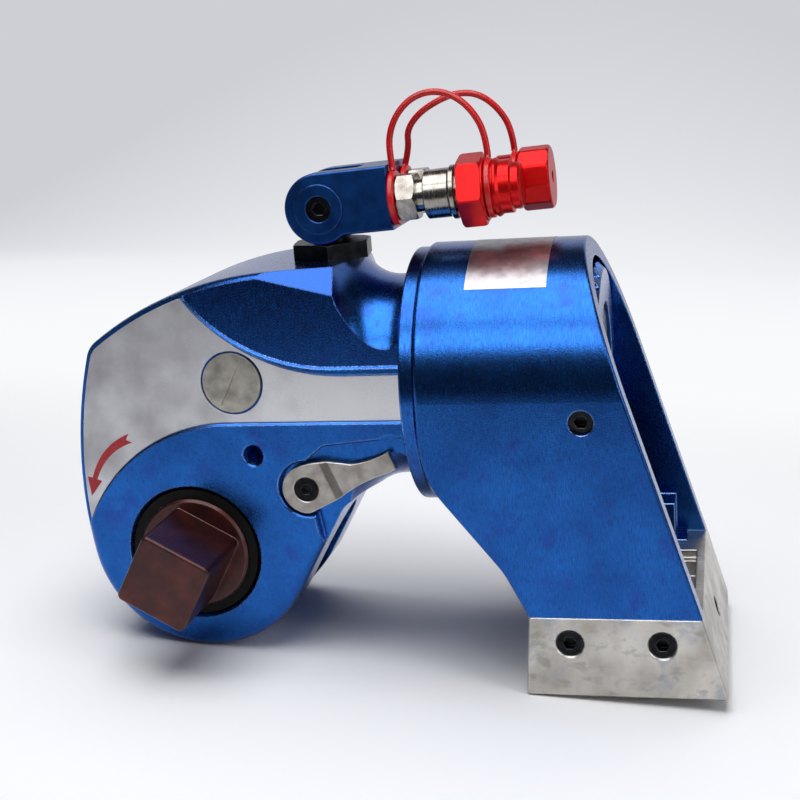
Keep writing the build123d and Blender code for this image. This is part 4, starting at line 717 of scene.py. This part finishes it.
# Couplers: two quick couplings turned from hexagon bar and nickel plated, a female one on the
# near port and a male nipple on the far one.
def bright_nickel():
    """Nickel plate over turned steel: a warm mirror with turned rings and slight tarnish."""
    material, tree, where = new_material("bright_nickel_plate")
    rounded = rounded_edges(tree, 0.25)[0]
    tint = node(tree, "ShaderNodeMix",
                {0: patches(tree, where, 5.0, detail=5.0), 6: linear("#817c75"), 7: linear("#aaa6a0")},
                data_type="RGBA").outputs[2]
    rings = patches(tree, where, 0.5, detail=1.0, stretch=(1.0, 0.03, 0.03))
    rough = node(tree, "ShaderNodeMapRange", {0: rings, 3: 0.16, 4: 0.28}).outputs[0]
    bump = node(tree, "ShaderNodeBump",
                {"Height": rings, "Strength": 0.04, "Distance": RELIEF, "Normal": rounded})
    shader = node(tree, "ShaderNodeBsdfPrincipled",
                  {"Base Color": tint, "Metallic": 1.0, "Roughness": rough, "Normal": bump.outputs[0]})
    node(tree, "ShaderNodeOutputMaterial", {"Surface": shader.outputs[0]})
    return material


NICKEL = bright_nickel()
dress("coupler_near coupler_far", NICKEL)


# Inner works: ratchet, pawls, lever plates, pins, piston and end cap are ground and hardened
# steel, dark grey with an oil film.  The springs are of drawn wire, a shade darker, and the
# piston's rod is plated like the couplers.
def hardened_steel(name, first, second):
    """Hardened and ground steel: grey, clouded by heat and oil, with fine grinding lines."""
    material, tree, where = new_material(name)
    rounded = rounded_edges(tree, 0.3)[0]
    tint = node(tree, "ShaderNodeMix",
                {0: patches(tree, where, 6.0, detail=5.0), 6: linear(first), 7: linear(second)},
                data_type="RGBA").outputs[2]
    lines = patches(tree, where, 0.6, detail=2.0, stretch=(1.0, 0.1, 1.0))
    rough = node(tree, "ShaderNodeMapRange", {0: lines, 3: 0.26, 4: 0.42}).outputs[0]
    bump = node(tree, "ShaderNodeBump",
                {"Height": lines, "Strength": 0.05, "Distance": RELIEF, "Normal": rounded})
    shader = node(tree, "ShaderNodeBsdfPrincipled",
                  {"Base Color": tint, "Metallic": 1.0, "Roughness": rough, "Normal": bump.outputs[0]})
    node(tree, "ShaderNodeOutputMaterial", {"Surface": shader.outputs[0]})
    return material


dress("ratchet_wheel lever_plate_near lever_plate_far lever_pin drive_pawl spring_bridge piston end_cap "
      "release_shaft reaction_pawl retainer_button", hardened_steel("hardened_steel", "#74726f", "#9a9894"))
dress("drive_pawl_springs reaction_pawl_spring", hardened_steel("spring_steel", "#66676b", "#85868b"))
dress("piston_rod", NICKEL)


# Bushes and the port plug: turned from bar in bearing bronze and pressed or screwed in.  The metal
# is golden brown, with dull oxide between the marks.
def bearing_bronze():
    """Turned bearing bronze: golden brown metal with lathe rings and patches of dull oxide."""
    material, tree, where = new_material("bearing_bronze")
    rounded = rounded_edges(tree, 0.3)[0]
    tint = node(tree, "ShaderNodeMix",
                {0: patches(tree, where, 5.0, detail=5.0), 6: linear("#94662f"), 7: linear("#c1924e")},
                data_type="RGBA").outputs[2]
    rings = patches(tree, where, 0.5, detail=1.0)
    rough = node(tree, "ShaderNodeMapRange", {0: rings, 3: 0.26, 4: 0.42}).outputs[0]
    bump = node(tree, "ShaderNodeBump",
                {"Height": rings, "Strength": 0.05, "Distance": RELIEF, "Normal": rounded})
    shader = node(tree, "ShaderNodeBsdfPrincipled",
                  {"Base Color": tint, "Metallic": 1.0, "Roughness": rough, "Normal": bump.outputs[0]})
    node(tree, "ShaderNodeOutputMaterial", {"Surface": shader.outputs[0]})
    return material


dress("drive_bushes gland_bush port_plug", bearing_bronze())


# Seals: moulded rings of black nitrile rubber, pressed into their grooves round the drive, the
# piston, its rod and the end cap.  The rubber is matt and holds a little oil.
def seal_rubber():
    """Moulded nitrile rubber: black and matt, with an oily patchiness."""
    material, tree, where = new_material("black_nitrile_rubber")
    tint = node(tree, "ShaderNodeMix",
                {0: patches(tree, where, 3.0), 6: linear("#030303"), 7: linear("#0b0b0c")},
                data_type="RGBA").outputs[2]
    fine = patches(tree, where, 0.6)
    rough = node(tree, "ShaderNodeMapRange", {0: fine, 3: 0.55, 4: 0.7}).outputs[0]
    bump = node(tree, "ShaderNodeBump", {"Height": fine, "Strength": 0.1, "Distance": RELIEF})
    shader = node(tree, "ShaderNodeBsdfPrincipled",
                  {"Base Color": tint, "Roughness": rough, "IOR": 1.45, "Specular IOR Level": 0.2,
                   "Normal": bump.outputs[0]})
    node(tree, "ShaderNodeOutputMaterial", {"Surface": shader.outputs[0]})
    return material


dress("drive_seal_near drive_seal_far piston_seals rod_seal end_cap_ring", seal_rubber())


# Stage: a pale paper sweep under and behind the tool, lying under the head's round and the foot's
# edge.  The camera sees its pale fade on every side.  Polished faces mirror that fade behind the
# tool, and a dark room in front.
FLOOR_FOOT = np.array([0.1743, 0.0, -0.0657])
FLOOR_PITCH = np.radians(-4.0)
SWEEP_SIDE = 3.0
SWEEP_FRONT, SWEEP_REAR = -2.0, 3.2
BEND_FROM, BEND_PULL, BEND_RISE = 1.2, 0.5, 0.6


def paper_sweep():
    """The sweep's points: flat up to v = BEND_FROM, then rising as it goes back.

    With b = max(v - BEND_FROM, 0): back = v - BEND_PULL * min(b, 1) and up = BEND_RISE * b^2.
    """
    up = np.array([-np.sin(FLOOR_PITCH), 0.0, np.cos(FLOOR_PITCH)])
    across = np.array([np.cos(FLOOR_PITCH), 0.0, np.sin(FLOOR_PITCH)])
    u, v = np.meshgrid(np.linspace(-SWEEP_SIDE, SWEEP_SIDE, 5), np.linspace(SWEEP_FRONT, SWEEP_REAR, 105))
    bend = np.clip(v - BEND_FROM, 0, None)
    back = v - np.clip(bend, 0, 1.0) * BEND_PULL
    return (FLOOR_FOOT + u[..., None] * across + back[..., None] * np.array([0.0, 1.0, 0.0])
            + (bend ** 2 * BEND_RISE)[..., None] * up)


# Each pair holds the distances, in metres, where a change starts and where it is complete: FADE the
# paper's greying, BEHIND its glow behind the tool, AROUND its glow all round, and ROOM the dark in
# front.  FADE and AROUND run out from the middle; BEHIND and ROOM run back and forward.
FADE, BEHIND, AROUND, ROOM = (0.4, 1.6), (0.12, 0.55), (0.5, 0.9), (-0.48, -0.85)
PAPER_FADE = ((0.0, "#fafbfd"), (0.42, "#f8f9fb"), (0.62, "#f3f4f8"),
              (0.75, "#edeef2"), (0.87, "#dedfe4"), (1.0, "#cecfd4"))


def pale_paper():
    """Matt paper lit by the lamps, and a glow in its own fading colours where they fall off.

    The glow's share is max(behind * (camera or glossy), around * camera), for the kind of ray that
    looks at it, so no light from it reaches a matt surface.  Glossy rays find a dark room in place
    of the paper in front.
    """
    material, tree, where = new_material("pale_paper_sweep")
    depth = node(tree, "ShaderNodeSeparateXYZ", {0: where}).outputs[1]
    level = node(tree, "ShaderNodeVectorMath",
                 {0: where, 1: (1.0, 1.0, 0.0)}, operation="MULTIPLY").outputs[0]
    away = node(tree, "ShaderNodeVectorMath", {0: level}, operation="LENGTH").outputs["Value"]
    fade = node(tree, "ShaderNodeMapRange", {0: away, 1: FADE[0], 2: FADE[1]}).outputs[0]
    ramp = node(tree, "ShaderNodeValToRGB", {0: fade})
    stops = ramp.color_ramp.elements
    while len(stops) < len(PAPER_FADE):
        stops.new(0.5)
    for stop, (position, code) in zip(stops, PAPER_FADE):
        stop.position = position
        stop.color = linear(code)
    glow = node(tree, "ShaderNodeEmission", {"Color": ramp.outputs[0], "Strength": 1.0}).outputs[0]
    paper = node(tree, "ShaderNodeBsdfDiffuse", {"Color": linear("#f3f4f7")}).outputs[0]
    room = node(tree, "ShaderNodeBsdfDiffuse", {"Color": linear("#26272b")}).outputs[0]
    ray = node(tree, "ShaderNodeLightPath").outputs
    camera_ray, glossy_ray = ray["Is Camera Ray"], ray["Is Glossy Ray"]
    behind = node(tree, "ShaderNodeMapRange",
                  {0: depth, 1: BEHIND[0], 2: BEHIND[1]}, interpolation_type="SMOOTHSTEP").outputs[0]
    around = node(tree, "ShaderNodeMapRange",
                  {0: away, 1: AROUND[0], 2: AROUND[1]}, interpolation_type="SMOOTHSTEP").outputs[0]
    front = node(tree, "ShaderNodeMapRange",
                 {0: depth, 1: ROOM[0], 2: ROOM[1]}, interpolation_type="SMOOTHSTEP").outputs[0]
    seen = node(tree, "ShaderNodeMath", {0: camera_ray, 1: glossy_ray}, operation="MAXIMUM").outputs[0]
    glow_behind = node(tree, "ShaderNodeMath", {0: behind, 1: seen}, operation="MULTIPLY").outputs[0]
    glow_around = node(tree, "ShaderNodeMath", {0: around, 1: camera_ray}, operation="MULTIPLY").outputs[0]
    share = node(tree, "ShaderNodeMath", {0: glow_behind, 1: glow_around}, operation="MAXIMUM").outputs[0]
    unlit = node(tree, "ShaderNodeMath", {0: front, 1: glossy_ray}, operation="MULTIPLY").outputs[0]
    lit = node(tree, "ShaderNodeMixShader", {0: unlit, 1: paper, 2: room}).outputs[0]
    mixed = node(tree, "ShaderNodeMixShader", {0: share, 1: lit, 2: glow}).outputs[0]
    node(tree, "ShaderNodeOutputMaterial", {"Surface": mixed})
    return material


sweep_points = paper_sweep()
sweep_faces = grid_faces(*sweep_points.shape[:2])[:, ::-1]
mesh_piece("sweep", sweep_points, sweep_faces, pale_paper(), None, "red_rubber")

# Surround: a plain world in the paper's far grey.  The camera sees it at full strength beyond the
# sheet's edges, and it fills the shadows with ROOM_LIGHT of that.
ROOM_LIGHT = 0.08
world = bpy.data.worlds.new("studio")
bpy.context.scene.world = world
world.use_nodes = True
background = world.node_tree.nodes["Background"].inputs
background["Color"].default_value = linear(PAPER_FADE[-1][1])
looked_at = node(world.node_tree, "ShaderNodeLightPath").outputs["Is Camera Ray"]
strength = node(world.node_tree, "ShaderNodeMath",
                {0: looked_at, 1: 1 - ROOM_LIGHT, 2: ROOM_LIGHT}, operation="MULTIPLY_ADD")
world.node_tree.links.new(strength.outputs[0], background["Strength"])


# Lamps: a large softbox overhead and a little to the front, and a strip at the right for the foot.
# The front strip shows only in polished surfaces, where it draws the long glint on the rounds.  The
# rear softbox lights only matt ones, as its mirror image would whiten the top faces.
def softbox(name, at, aim, size, watts):
    """A rectangular soft light at a place, facing a point; size is width and height in metres."""
    light = bpy.data.lights.new(name, "AREA")
    light.shape = "RECTANGLE"
    light.size, light.size_y = size
    light.energy = watts
    lamp = bpy.data.objects.new(name, light)
    bpy.context.collection.objects.link(lamp)
    lamp.location = at
    lamp.rotation_euler = (Vector(aim) - Vector(at)).to_track_quat("-Z", "Y").to_euler()
    return lamp


TOOL_MIDDLE = (0.1, 0.0, 0.06)
softbox("key_softbox", (0.05, -0.3, 1.28), TOOL_MIDDLE, (1.3, 1.0), 15.4)
softbox("front_strip", (0.0, -0.95, 0.88), TOOL_MIDDLE, (1.2, 0.42), 6.2).visible_diffuse = False
softbox("rear_softbox", (0.1, 0.4, 1.2), TOOL_MIDDLE, (1.0, 0.6), 5.6).visible_glossy = False
softbox("right_strip", (1.2, -0.5, 0.5), TOOL_MIDDLE, (0.4, 1.0), 4.0)
